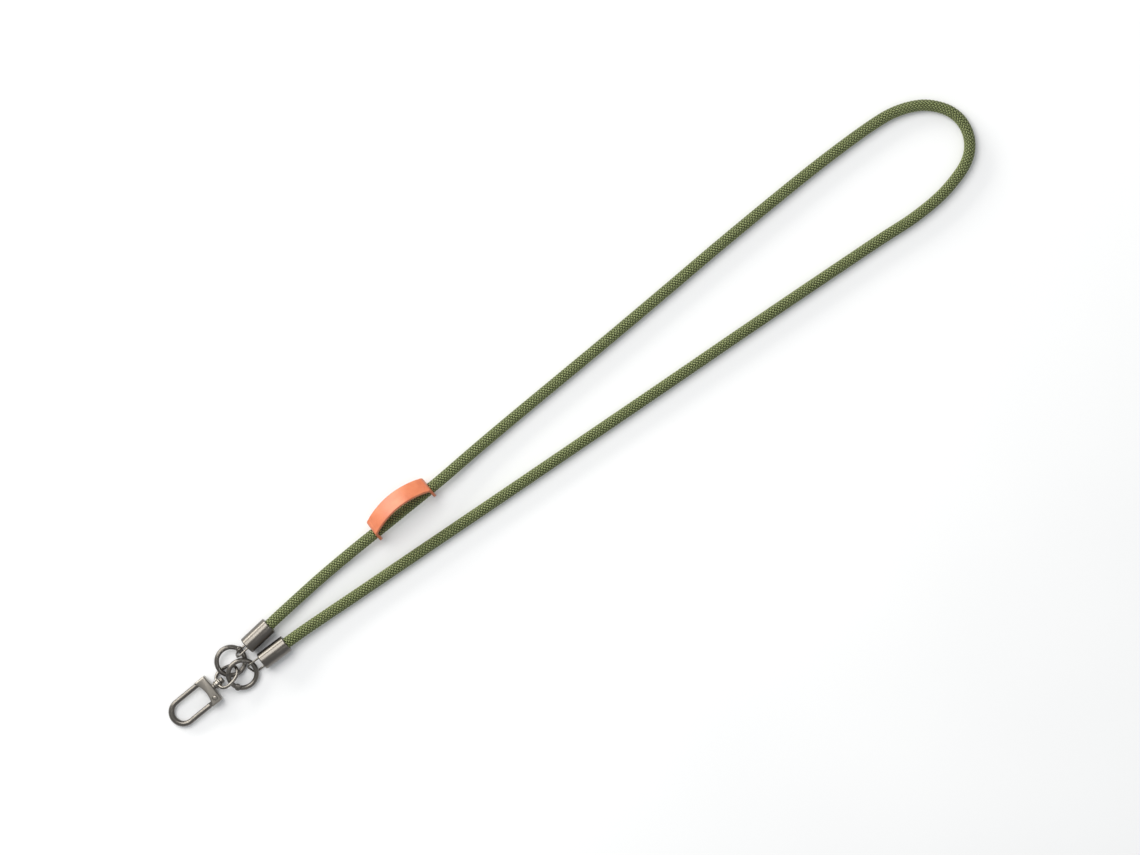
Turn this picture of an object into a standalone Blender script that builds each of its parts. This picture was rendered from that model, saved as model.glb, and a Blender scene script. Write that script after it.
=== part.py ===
"""Phone crossbody strap: a braided cord with two metal end caps, two spring gate rings,
a swivel snap clasp and a leather keeper, laid out folded in half on a flat surface.

Metres, +Z up, the surface at z = 0. The folded strap lies along X with its clasp at -X.
"""

import bpy
import bmesh
from math import asin, atan2, ceil, cos, degrees, pi, radians, sin, sqrt
from mathutils import Matrix, Vector

MM = 0.001
SEAT_GAP = 0.3 * MM
CUT_OVERSHOOT = 1.0 * MM
FRAME_MARK = 5.0 * MM

# Cord
CORD_DIAMETER = 8.0 * MM
CORD_POINT_SPACING = 17.5 * MM
CORD_SECTION_RESOLUTION = 3
CORD_STRAIGHT_AT_CAP = 1.5 * MM

# The cord's route between the two cap mouths, in millimetres: x, y and height of the centre line.
# It runs along the upper leg, round the fold at +X and back along the lower leg.
CORD_ROUTE_MM = [
    (-238.0, 9.7, 5.7),
    (-215.0, 11.9, 4.5),
    (-198.0, 13.3, 4.2),
    (-180.0, 14.3, 4.8),
    (-163.0, 15.0, 6.3),
    (-145.0, 15.5, 6.6),
    (-127.5, 16.1, 6.6),
    (-110.0, 16.7, 6.6),
    (-92.0, 17.5, 6.2),
    (-64.0, 19.4, 4.6),
    (-31.5, 21.2, 4.0),
    (12.0, 23.2, 4.0),
    (59.0, 25.4, 4.0),
    (107.0, 28.0, 4.0),
    (150.0, 30.5, 4.0),
    (195.0, 32.6, 4.0),
    (243.0, 34.1, 4.0),
    (282.0, 33.8, 4.0),
    (304.0, 31.5, 4.0),
    (321.5, 24.4, 4.0),
    (332.4, 13.6, 4.0),
    (336.8, 3.0, 4.0),
    (336.5, -7.4, 4.0),
    (332.2, -17.0, 4.0),
    (324.5, -24.3, 4.0),
    (313.0, -29.2, 4.0),
    (295.0, -33.1, 4.0),
    (272.0, -34.1, 4.0),
    (244.0, -32.2, 4.0),
    (210.0, -30.3, 4.0),
    (176.0, -28.5, 4.0),
    (128.0, -26.1, 4.0),
    (75.0, -23.7, 4.0),
    (10.0, -20.6, 4.0),
    (-76.0, -16.4, 4.0),
    (-139.0, -13.2, 4.0),
    (-190.0, -10.6, 4.2),
    (-216.0, -9.2, 4.9),
    (-234.0, -8.4, 5.8),
]

# End caps: turned barrels, each with a wire bail let into its front face
CAP_DIAMETER = 12.3 * MM
CAP_LENGTH = 21.0 * MM
CAP_EDGE = 0.7 * MM
CAP_BORE_DEPTH = 15.5 * MM
CAP_SIDES = 28
CAP_UPPER_FRONT = (-268.1 * MM, 6.4 * MM)
CAP_LOWER_FRONT = (-266.2 * MM, -8.2 * MM)
CAP_UPPER_YAW = 6.3
CAP_LOWER_YAW = 0.0

CAP_BAIL_WIRE = 1.4 * MM
CAP_BAIL_EDGE_INSET = 0.15 * MM
CAP_BAIL_REACH = 9.4 * MM
CAP_BAIL_CORNER = 2.6 * MM
CAP_BAIL_ROOT = 1.2 * MM
# How each bail leans: dip of its tip, and roll about the cap's axis, in degrees
CAP_UPPER_BAIL_LEAN = (-1.0, -74.0)
CAP_LOWER_BAIL_LEAN = (-10.5, 51.0)

# Spring gate rings
RING_DIAMETER = 22.7 * MM
RING_WIRE = 3.3 * MM
RING_SIDES = 12
RING_GATE_ANGLE = 71.0
RING_GATE_GAP = 0.35 * MM
RING_KNUCKLE_DIAMETER = 4.4 * MM
RING_KNUCKLE_HEIGHT = 3.3 * MM
RING_TONGUE = 1.1 * MM
RING_TONGUE_WIDTH = 2.5 * MM
RING_TONGUE_TURN = 11.0
RING_PIN = 1.1 * MM
# From each cap's front face to the centre of its ring, along and across the strap
RING_UPPER_OFFSET = (-15.0 * MM, -1.6 * MM)
RING_LOWER_OFFSET = (-15.7 * MM, 1.2 * MM)
# Rise of each ring's plane along X and along Y
RING_UPPER_SLOPE = (-0.085, 0.19)
RING_LOWER_SLOPE = (-0.05, 0.285)
RING_UPPER_PIVOT_ANGLE = 18.0
RING_LOWER_PIVOT_ANGLE = 214.0
RING_STACK_GAP = 0.75 * MM

# Swivel bail of the clasp: a barrel that turns on the clasp's stud, and its loop
BARREL_DIAMETER = 6.0 * MM
BARREL_LENGTH = 4.7 * MM
BARREL_FLUTE = 0.35 * MM
LOOP_WIRE = 2.3 * MM
LOOP_REACH = 20.3 * MM
LOOP_HALF_WIDTH = 6.9 * MM
LOOP_TAPER = 0.18
LOOP_ROUNDNESS = 0.8
LOOP_ROLL = -36.0
LOOP_POINTS = 44

# Clasp: block, hook, stud, gate and rivet
CLASP_YAW = 2.3
CLASP_PITCH = 4.5
CLASP_TO_CROSSING = 12.9 * MM
CLASP_SIDESTEP = -0.35 * MM
BLOCK_LENGTH = 9.2 * MM
BLOCK_WIDTH = 20.4 * MM
BLOCK_THICKNESS = 6.5 * MM
BLOCK_HOLLOW = 3.0 * MM
BLOCK_EDGE = 1.1 * MM
BLOCK_ARC_STEPS = 12
HOOK_LENGTH = 37.4 * MM
HOOK_WIRE = 3.6 * MM
HOOK_TIP_WIRE = 4.3 * MM
HOOK_WIDTH = 19.9 * MM
STUD_DIAMETER = 2.3 * MM
STUD_WASHER = (4.3 * MM, 1.2 * MM)
STUD_HEAD = (4.4 * MM, 2.1 * MM)
GATE_NOSE_X = 24.45 * MM
GATE_NOSE_SLANT = 26.6
GATE_GAP = 0.35 * MM
GATE_TAIL = 2.4 * MM
GATE_TAIL_REACH = 1.2 * MM
GATE_TAIL_WIDTH = 3.0 * MM
GATE_TAIL_STOP = 1.0 * MM
GATE_EYE_WALL = 1.1 * MM
BLOCK_SIDE_WALL = 0.45 * MM
RIVET_INSET = 3.4 * MM
RIVET_OFFSET = 6.4 * MM
RIVET_SHANK = 1.8 * MM
RIVET_HEAD = (3.3 * MM, 0.9 * MM)
RIVET_PROUD = 0.25 * MM

# Leather keeper: a strip with round ends, threaded twice by the cord
KEEPER_WIDTH = 12.8 * MM
KEEPER_THICKNESS = 1.8 * MM
KEEPER_SPAN = 47.0 * MM
KEEPER_RISE_END = 7.6 * MM
KEEPER_RISE_MIDDLE = 14.4 * MM
KEEPER_FOLD = 2.6 * MM
KEEPER_LEAN = -36.0
KEEPER_YAW = 1.9
KEEPER_CENTRE_ON_ROUTE = 6
KEEPER_HOLE_CLEARANCE = 0.5 * MM
KEEPER_ARCH_STEPS = 18
KEEPER_ACROSS = 6

RING_RADIUS = (RING_DIAMETER - RING_WIRE) / 2
HOOK_HALF = (HOOK_WIDTH - HOOK_WIRE) / 2
CAP_BORE = CORD_DIAMETER / 2 + SEAT_GAP
STUD_REACH = STUD_WASHER[1] + SEAT_GAP + BARREL_LENGTH + SEAT_GAP


def clear_scene():
    """Empty the scene of its objects."""
    for old in list(bpy.data.objects):
        bpy.data.objects.remove(old)


def make_collection(name):
    group = bpy.data.collections.new(name)
    bpy.context.scene.collection.children.link(group)
    return group


def make_material(name, colour, roughness, metallic):
    mat = bpy.data.materials.new(name)
    mat.use_nodes = True
    shader = mat.node_tree.nodes["Principled BSDF"]
    shader.inputs["Base Color"].default_value = (*colour, 1.0)
    shader.inputs["Roughness"].default_value = roughness
    shader.inputs["Metallic"].default_value = metallic
    return mat


def place(obj, matrix=None, parent=None):
    """Parent an object and set its place in the parent's frame."""
    if parent is not None:
        obj.parent = parent
    obj.matrix_basis = matrix if matrix is not None else Matrix.Identity(4)
    return obj


def make_empty(name, matrix):
    empty = bpy.data.objects.new(name, None)
    empty.empty_display_size = FRAME_MARK
    cutters.objects.link(empty)
    return place(empty, matrix)


def link_part(obj, material):
    parts.objects.link(obj)
    obj.data.materials.append(material)
    return obj


def link_cutter(obj):
    cutters.objects.link(obj)
    obj.hide_render = True
    obj.display_type = "WIRE"
    return obj


def mesh_object(name, bm):
    """A mesh object from a bmesh, with its faces pointing out."""
    bmesh.ops.recalc_face_normals(bm, faces=bm.faces)
    mesh = bpy.data.meshes.new(name)
    bm.to_mesh(mesh)
    bm.free()
    return bpy.data.objects.new(name, mesh)


def smooth(obj, angle=40.0):
    obj.data.shade_smooth()
    obj.data.set_sharp_from_angle(angle=radians(angle))
    return obj


def boolean(target, other, operation):
    mod = target.modifiers.new(other.name, "BOOLEAN")
    mod.operation = operation
    mod.solver = "EXACT"
    mod.object = other
    return mod


def tube_curve(name, points, radius, swell=None, resolution=CORD_SECTION_RESOLUTION):
    """A round wire along a poly line; swell scales the radius at each point."""
    curve = bpy.data.curves.new(name, "CURVE")
    curve.dimensions = "3D"
    curve.bevel_depth = radius
    curve.bevel_resolution = resolution
    curve.use_fill_caps = True
    curve.twist_mode = "MINIMUM"
    spline = curve.splines.new("POLY")
    spline.points.add(len(points) - 1)
    for number, point in enumerate(points):
        spline.points[number].co = (*point, 1.0)
        spline.points[number].radius = swell[number] if swell else 1.0
    return bpy.data.objects.new(name, curve)


def tube_mesh(name, points, radius, swell=None, resolution=4):
    """The same wire as a closed mesh, for pieces that are cut or joined."""
    wire = tube_curve(name + "_wire", points, radius, swell, resolution)
    cutters.objects.link(wire)
    bpy.context.view_layer.update()
    evaluated = wire.evaluated_get(bpy.context.evaluated_depsgraph_get())
    mesh = bpy.data.meshes.new_from_object(evaluated)
    bpy.data.objects.remove(wire)
    bm = bmesh.new()
    bm.from_mesh(mesh)
    bpy.data.meshes.remove(mesh)
    bmesh.ops.remove_doubles(bm, verts=bm.verts, dist=0.01 * MM)
    return mesh_object(name, bm)


def cylinder(name, radius, low, high, centre=(0.0, 0.0), sides=32):
    """A cylinder along local Z from low to high."""
    bm = bmesh.new()
    middle = Matrix.Translation((centre[0], centre[1], (low + high) / 2))
    bmesh.ops.create_cone(
        bm, cap_ends=True, segments=sides, radius1=radius, radius2=radius,
        depth=high - low, matrix=middle,
    )
    return mesh_object(name, bm)


def block(name, low, high):
    """A plain box between two corners, used for cutting and for flat tongues."""
    bm = bmesh.new()
    size = Vector(high) - Vector(low)
    middle = (Vector(high) + Vector(low)) / 2
    shape = Matrix.Translation(middle) @ Matrix.Diagonal((*size, 1.0))
    bmesh.ops.create_cube(bm, size=1.0, matrix=shape)
    return mesh_object(name, bm)


def turned(name, profile, sides):
    """A turned solid about local Z; the profile runs from the top, down its outer side."""
    bm = bmesh.new()
    ring = [bm.verts.new((radius, 0.0, height)) for radius, height in profile]
    for first, second in zip(ring, ring[1:]):
        bm.edges.new((first, second))
    mesh = bpy.data.meshes.new(name)
    bm.to_mesh(mesh)
    bm.free()
    obj = bpy.data.objects.new(name, mesh)
    screw = obj.modifiers.new("turn", "SCREW")
    screw.steps = sides
    screw.render_steps = sides
    screw.use_merge_vertices = True
    screw.merge_threshold = 0.01 * MM
    screw.use_smooth_shade = True
    return obj


def smooth_route(points, spacing):
    """Points at even spacing along a Catmull-Rom curve through the given points."""
    route = [Vector(point) for point in points]
    padded = [2 * route[0] - route[1], *route, 2 * route[-1] - route[-2]]
    fine = []
    for number in range(len(route) - 1):
        before, start, end, after = padded[number:number + 4]
        for step in range(24):
            t = step / 24
            fine.append(0.5 * (
                2 * start + (end - before) * t
                + (2 * before - 5 * start + 4 * end - after) * t ** 2
                + (3 * start - before - 3 * end + after) * t ** 3
            ))
    fine.append(route[-1])
    travelled = [0.0]
    for first, second in zip(fine, fine[1:]):
        travelled.append(travelled[-1] + (second - first).length)
    count = ceil(travelled[-1] / spacing)
    even = []
    place_in_fine = 0
    for number in range(count):
        wanted = travelled[-1] * number / count
        while travelled[place_in_fine + 1] < wanted:
            place_in_fine += 1
        span = travelled[place_in_fine + 1] - travelled[place_in_fine]
        share = (wanted - travelled[place_in_fine]) / span
        even.append(fine[place_in_fine].lerp(fine[place_in_fine + 1], share))
    even.append(fine[-1])
    return even


def cap_frame(front, yaw):
    """A cap's frame: origin on its front face, local X back along the cap towards the cord."""
    turn = Matrix.Rotation(radians(yaw), 4, "Z")
    return Matrix.Translation((front[0], front[1], CAP_DIAMETER / 2)) @ turn


def cord_points():
    """The whole cord, from the bottom of one cap's bore to the bottom of the other's."""
    seated = Vector((CAP_LENGTH - CAP_BORE_DEPTH + SEAT_GAP, 0, 0))
    mouth = Vector((CAP_LENGTH + CORD_STRAIGHT_AT_CAP, 0, 0))
    route = [Vector(point) * MM for point in CORD_ROUTE_MM]
    free = [upper_cap_frame @ mouth, *route, lower_cap_frame @ mouth]
    bends = smooth_route(free, CORD_POINT_SPACING)
    return [upper_cap_frame @ seated, *bends, lower_cap_frame @ seated]


def make_cord():
    obj = tube_curve("cord", cord_points(), CORD_DIAMETER / 2)
    return link_part(obj, cord_green)


def bail_path():
    """A cap bail's wire in its own frame: legs along -X, joined by a round-cornered end."""
    half = CAP_DIAMETER / 2 - CAP_BAIL_EDGE_INSET - CAP_BAIL_WIRE / 2
    turn_at = CAP_BAIL_REACH - CAP_BAIL_CORNER
    leg = [Vector((CAP_BAIL_ROOT, half, 0)), Vector((-turn_at / 2, half, 0))]
    for step in range(7):
        angle = radians(90) * step / 6
        leg.append(Vector((
            -turn_at - CAP_BAIL_CORNER * sin(angle),
            half - CAP_BAIL_CORNER * (1 - cos(angle)),
            0,
        )))
    other = [Vector((point.x, -point.y, 0)) for point in reversed(leg)]
    return leg + other


def make_cap(name, frame, lean):
    """A turned end cap with a blind bore for the cord, its bail soldered to the front face."""
    radius = CAP_DIAMETER / 2
    profile = [
        (0.0, 0.0),
        (radius - CAP_EDGE, 0.0),
        (radius - CAP_EDGE * 0.3, -CAP_EDGE * 0.3),
        (radius, -CAP_EDGE),
        (radius, CAP_EDGE - CAP_LENGTH),
        (radius - CAP_EDGE * 0.3, CAP_EDGE * 0.3 - CAP_LENGTH),
        (radius - CAP_EDGE, -CAP_LENGTH),
        (CAP_BORE, -CAP_LENGTH),
        (CAP_BORE, CAP_BORE_DEPTH - CAP_LENGTH),
        (0.0, CAP_BORE_DEPTH - CAP_LENGTH),
    ]
    cap = link_part(turned(name, profile, CAP_SIDES), gunmetal)
    turn_axis = Matrix.Rotation(radians(-90), 4, "Y")
    place(cap, frame @ turn_axis)
    bail = link_cutter(tube_mesh(name + "_bail", bail_path(), CAP_BAIL_WIRE / 2, resolution=3))
    dip = Matrix.Rotation(radians(lean[0]), 4, "Y")
    roll = Matrix.Rotation(radians(lean[1]), 4, "X")
    place(bail, frame @ dip @ roll)
    boolean(cap, bail, "UNION")
    return cap


def plane_frame(centre, slope, spin):
    """A frame whose XY plane rises by slope along world X and Y, turned by spin about its Z."""
    normal = Vector((-slope[0], -slope[1], 1)).normalized()
    along = Vector((0, 1, 0)).cross(normal).normalized()
    across = normal.cross(along)
    axes = Matrix((along, across, normal)).transposed().to_4x4()
    return Matrix.Translation(centre) @ axes @ Matrix.Rotation(radians(spin), 4, "Z")


def height_on(centre, slope, spot):
    """Height of a sloping plane through centre above the spot's x and y."""
    return centre.z + slope[0] * (spot.x - centre.x) + slope[1] * (spot.y - centre.y)


def crossing_of(first, second):
    """Where the two rings' centre lines cross on the clasp's side, seen from above."""
    middle = (first + second) / 2
    apart = Vector((second.x - first.x, second.y - first.y))
    reach = sqrt(RING_RADIUS ** 2 - (apart.length / 2) ** 2)
    sideways = Vector((apart.y, -apart.x)).normalized() * reach
    if sideways.x > 0:
        sideways = -sideways
    return Vector((middle.x + sideways.x, middle.y + sideways.y, 0))


def ring_centres():
    """Centres of the upper and lower ring: the lower one lies on top of the upper."""
    upper_height = LOOP_WIRE + RING_WIRE / 2 + SEAT_GAP
    upper = Vector((
        CAP_UPPER_FRONT[0] + RING_UPPER_OFFSET[0],
        CAP_UPPER_FRONT[1] + RING_UPPER_OFFSET[1],
        upper_height,
    ))
    lower = Vector((
        CAP_LOWER_FRONT[0] + RING_LOWER_OFFSET[0],
        CAP_LOWER_FRONT[1] + RING_LOWER_OFFSET[1],
        0,
    ))
    spot = crossing_of(upper, lower)
    stack = RING_WIRE + RING_STACK_GAP
    wanted = height_on(upper, RING_UPPER_SLOPE, spot) + stack
    lower.z = wanted - height_on(lower, RING_LOWER_SLOPE, spot)
    return upper, lower, spot


def arc_points(start, end, steps):
    """Points of the ring's centre line between two angles in degrees."""
    points = []
    for step in range(steps + 1):
        angle = radians(start + (end - start) * step / steps)
        points.append(Vector((RING_RADIUS * cos(angle), RING_RADIUS * sin(angle), 0)))
    return points


def gate_cylinder(name, radius, nose_side_only):
    """The cylinder about the gate's pivot that the gate's slanted nose is cut along."""
    bm = bmesh.new()
    middle = Matrix.Translation((RING_RADIUS, 0, 0))
    bmesh.ops.create_cone(
        bm, cap_ends=True, segments=64, radius1=radius, radius2=radius,
        depth=RING_WIRE * 3, matrix=middle,
    )
    if nose_side_only:
        cut = bmesh.ops.bisect_plane(
            bm, geom=bm.verts[:] + bm.edges[:] + bm.faces[:],
            plane_co=(0, -RING_WIRE, 0), plane_no=(0, 1, 0), clear_outer=True,
        )
        rim = [item for item in cut["geom_cut"] if isinstance(item, bmesh.types.BMEdge)]
        bmesh.ops.holes_fill(bm, edges=rim)
    return mesh_object(name, bm)


def make_ring(side, frame):
    """A ring and its spring gate, hinged on a pin. The pivot is at the frame's +X."""
    pivot = Vector((RING_RADIUS, 0, 0))
    nose_reach = 2 * RING_RADIUS * sin(radians(RING_GATE_ANGLE) / 2)
    knuckle = RING_KNUCKLE_DIAMETER / 2
    clear_knuckle = knuckle + SEAT_GAP
    fork_half = RING_TONGUE / 2 + SEAT_GAP
    knuckle_angle = degrees(asin(clear_knuckle / RING_RADIUS))
    tag = "_" + side

    body_path = arc_points(knuckle_angle * 0.6, 360 - RING_GATE_ANGLE * 0.8, 30)
    body = tube_mesh("spring_ring" + tag, body_path, RING_WIRE / 2)
    link_part(body, gunmetal)
    place(body, frame)
    pocket = link_cutter(cylinder("knuckle_pocket" + tag, clear_knuckle, -RING_WIRE, RING_WIRE,
                                  (pivot.x, 0)))
    mouth = link_cutter(gate_cylinder("nose_room" + tag, nose_reach + RING_GATE_GAP, True))
    tongue = link_cutter(block(
        "tongue" + tag,
        (-RING_TONGUE_WIDTH / 2, 0, -RING_TONGUE / 2),
        (RING_TONGUE_WIDTH / 2, knuckle + RING_WIRE * 0.6, RING_TONGUE / 2),
    ))
    tongue_turn = Matrix.Rotation(radians(RING_TONGUE_TURN), 4, "Z")
    place(tongue, frame @ Matrix.Translation(pivot) @ tongue_turn)
    tongue_end = link_cutter(cylinder("tongue_end" + tag, RING_TONGUE_WIDTH / 2,
                                      -RING_TONGUE / 2, RING_TONGUE / 2, (pivot.x, 0), 20))
    pin_hole = link_cutter(cylinder("pin_hole" + tag, RING_PIN / 2 + SEAT_GAP,
                                    -RING_WIRE, RING_WIRE, (pivot.x, 0), 16))
    for tool in (pocket, mouth, tongue_end, pin_hole):
        place(tool, frame)
    boolean(body, pocket, "DIFFERENCE")
    boolean(body, mouth, "DIFFERENCE")
    boolean(body, tongue, "UNION")
    boolean(body, tongue_end, "UNION")
    boolean(body, pin_hole, "DIFFERENCE")

    gate_frame = frame @ Matrix.Translation(pivot)
    back = Matrix.Translation(-pivot)
    gate_path = [back @ point for point in arc_points(-RING_GATE_ANGLE - 12, 0, 14)]
    gate = tube_mesh("spring_gate" + tag, gate_path, RING_WIRE / 2)
    link_part(gate, gunmetal)
    place(gate, gate_frame)
    trim = link_cutter(gate_cylinder("nose_trim" + tag, nose_reach, False))
    place(trim, frame)
    hub = link_cutter(cylinder("knuckle" + tag, knuckle, -RING_KNUCKLE_HEIGHT / 2,
                               RING_KNUCKLE_HEIGHT / 2, sides=24))
    slot_low = (-knuckle - CUT_OVERSHOOT, -RING_TONGUE_WIDTH / 2 - SEAT_GAP, -fork_half)
    slot_high = (knuckle + CUT_OVERSHOOT, knuckle + CUT_OVERSHOOT, fork_half)
    fork = link_cutter(block("fork_slot" + tag, slot_low, slot_high))
    pin = link_cutter(cylinder("pin" + tag, RING_PIN / 2, -RING_KNUCKLE_HEIGHT / 2 + 0.2 * MM,
                               RING_KNUCKLE_HEIGHT / 2 - 0.2 * MM, sides=16))
    for tool in (hub, fork, pin):
        place(tool, gate_frame)
    boolean(gate, trim, "INTERSECT")
    boolean(gate, hub, "UNION")
    boolean(gate, fork, "DIFFERENCE")
    boolean(gate, pin, "UNION")
    smooth(body)
    smooth(gate)
    return body, gate


def loop_path():
    """The swivel loop's wire in the barrel's frame, from one side of the barrel to the other."""
    near = STUD_WASHER[1] + SEAT_GAP + BARREL_LENGTH / 2
    half_reach = (LOOP_REACH - near) / 2
    middle = near + half_reach
    root = BARREL_DIAMETER / 2 - LOOP_WIRE * 0.3
    start = asin((root / (LOOP_HALF_WIDTH * (1 + LOOP_TAPER))) ** (1 / LOOP_ROUNDNESS))
    points = []
    for step in range(LOOP_POINTS + 1):
        angle = -pi + start + 2 * (pi - start) * step / LOOP_POINTS
        along = abs(cos(angle)) ** LOOP_ROUNDNESS * (1 if cos(angle) > 0 else -1)
        across = abs(sin(angle)) ** LOOP_ROUNDNESS * (1 if sin(angle) > 0 else -1)
        narrowing = 1 - LOOP_TAPER * along
        points.append(Vector((
            middle + half_reach * along,
            LOOP_HALF_WIDTH * across * narrowing,
            0,
        )))
    return points


def make_swivel_bail(frame):
    """The barrel that turns on the clasp's stud, with its loop soldered to both sides."""
    outer = BARREL_DIAMETER / 2
    hole = STUD_DIAMETER / 2 + SEAT_GAP
    low = STUD_WASHER[1] + SEAT_GAP
    high = low + BARREL_LENGTH
    edge = BARREL_FLUTE
    profile = [
        (hole, high),
        (outer - edge, high),
        (outer, high - edge),
        (outer, high - edge * 3),
        (outer - edge, high - edge * 4),
        (outer - edge, low + edge * 4),
        (outer, low + edge * 3),
        (outer, low + edge),
        (outer - edge, low),
        (hole, low),
        (hole, high),
    ]
    barrel = link_part(turned("swivel_bail", profile, 24), gunmetal)
    along_x = Matrix.Rotation(radians(90), 4, "Y")
    place(barrel, along_x, frame)
    loop = link_cutter(tube_mesh("swivel_loop", loop_path(), LOOP_WIRE / 2, resolution=3))
    place(loop, Matrix.Rotation(radians(LOOP_ROLL), 4, "X"), frame)
    bore = link_cutter(cylinder("barrel_bore", hole, low - CUT_OVERSHOOT, high + CUT_OVERSHOOT,
                                sides=24))
    place(bore, along_x, frame)
    boolean(barrel, loop, "UNION")
    boolean(barrel, bore, "DIFFERENCE")
    return barrel


def block_outline():
    """The clasp block's outline: straight back and sides, and a hollow front edge."""
    half = BLOCK_WIDTH / 2
    points = [(0.0, -half), (0.0, half)]
    radius = (half ** 2 + BLOCK_HOLLOW ** 2) / (2 * BLOCK_HOLLOW)
    reach = asin(half / radius)
    centre = -BLOCK_LENGTH + BLOCK_HOLLOW - radius
    for step in range(BLOCK_ARC_STEPS + 1):
        angle = reach - 2 * reach * step / BLOCK_ARC_STEPS
        points.append((centre + radius * cos(angle), radius * sin(angle)))
    return points


def hook_path():
    """The hook's wire: out of the block, round the tip and back to the gate's nose."""
    bend_centre = -HOOK_LENGTH + HOOK_TIP_WIRE / 2 + HOOK_HALF
    points = []
    swell = []
    for share in (0.0, 0.5, 0.8):
        start = -BLOCK_LENGTH + BLOCK_HOLLOW + HOOK_WIRE / 2
        points.append(Vector((start + (bend_centre - start) * share, HOOK_HALF, 0)))
        swell.append(1.0)
    for step in range(17):
        angle = radians(90) + pi * step / 16
        points.append(Vector((
            bend_centre + HOOK_HALF * cos(angle), HOOK_HALF * sin(angle), 0,
        )))
        swell.append(1 + (HOOK_TIP_WIRE / HOOK_WIRE - 1) * sin(pi * step / 16))
    points.append(Vector((-GATE_NOSE_X + HOOK_WIRE, -HOOK_HALF, 0)))
    swell.append(1.0)
    return points, swell


def nose_room(name, shift, length, half_width):
    """A slanted box from the gate's nose back towards the block, shifted along its length."""
    low = (0, -half_width, -HOOK_WIRE)
    high = (length, half_width, HOOK_WIRE)
    tool = link_cutter(block(name, low, high))
    turn = Matrix.Rotation(radians(GATE_NOSE_SLANT), 4, "Z")
    spot = Matrix.Translation((-GATE_NOSE_X, -HOOK_HALF, 0))
    return tool, spot @ turn @ Matrix.Translation((shift, 0, 0))


def make_clasp_body(frame):
    """Block, hook and stud of the clasp, cast in one."""
    bm = bmesh.new()
    corners = [bm.verts.new((x, y, -BLOCK_THICKNESS / 2)) for x, y in block_outline()]
    bottom = bm.faces.new(corners)
    raised = bmesh.ops.extrude_face_region(bm, geom=[bottom])
    lifted = [item for item in raised["geom"] if isinstance(item, bmesh.types.BMVert)]
    bmesh.ops.translate(bm, verts=lifted, vec=(0, 0, BLOCK_THICKNESS))
    body = link_part(mesh_object("clasp_body", bm), satin_metal)
    place(body, parent=frame)
    edge = body.modifiers.new("rounded_edges", "BEVEL")
    edge.width = BLOCK_EDGE
    edge.segments = 3
    edge.limit_method = "ANGLE"
    edge.angle_limit = radians(40)

    path, swell = hook_path()
    hook = link_cutter(tube_mesh("hook", path, HOOK_WIRE / 2, swell, resolution=4))
    place(hook, parent=frame)
    room, room_place = nose_room("nose_clearance", -GATE_GAP, HOOK_WIRE * 2, HOOK_WIRE * 1.2)
    place(room, room_place, frame)
    boolean(hook, room, "DIFFERENCE")

    washer_r = STUD_WASHER[0] / 2
    head_r = STUD_HEAD[0] / 2
    shank_r = STUD_DIAMETER / 2
    root = -BLOCK_EDGE - CUT_OVERSHOOT
    top = STUD_REACH + STUD_HEAD[1]
    stud_profile = [
        (0.0, top),
        (head_r * 0.7, top),
        (head_r, top - head_r * 0.3),
        (head_r, STUD_REACH),
        (shank_r, STUD_REACH),
        (shank_r, STUD_WASHER[1]),
        (washer_r, STUD_WASHER[1]),
        (washer_r, root),
        (0.0, root),
    ]
    stud = link_cutter(turned("stud", stud_profile, 20))
    place(stud, Matrix.Rotation(radians(90), 4, "Y"), frame)
    boolean(body, hook, "UNION")
    boolean(body, stud, "UNION")

    tail_half = GATE_TAIL / 2 + SEAT_GAP
    eye = RIVET_SHANK / 2 + SEAT_GAP + GATE_EYE_WALL
    slot = link_cutter(block(
        "gate_slot",
        (-BLOCK_LENGTH - CUT_OVERSHOOT, -BLOCK_WIDTH / 2 + BLOCK_SIDE_WALL, -tail_half),
        (-RIVET_INSET + eye + SEAT_GAP, -RIVET_OFFSET + eye + 0.6 * MM, tail_half),
    ))
    place(slot, parent=frame)
    boolean(body, slot, "DIFFERENCE")
    hole = link_cutter(cylinder("rivet_hole", RIVET_SHANK / 2 + SEAT_GAP, -BLOCK_THICKNESS,
                                BLOCK_THICKNESS, (-RIVET_INSET, -RIVET_OFFSET), 24))
    seat = link_cutter(cylinder("rivet_seat", RIVET_HEAD[0] / 2 + SEAT_GAP,
                                BLOCK_THICKNESS / 2 - RIVET_HEAD[1] + RIVET_PROUD - SEAT_GAP,
                                BLOCK_THICKNESS, (-RIVET_INSET, -RIVET_OFFSET), 28))
    for tool in (hole, seat):
        place(tool, parent=frame)
        boolean(body, tool, "DIFFERENCE")
    smooth(body, 30)
    return body


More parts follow.
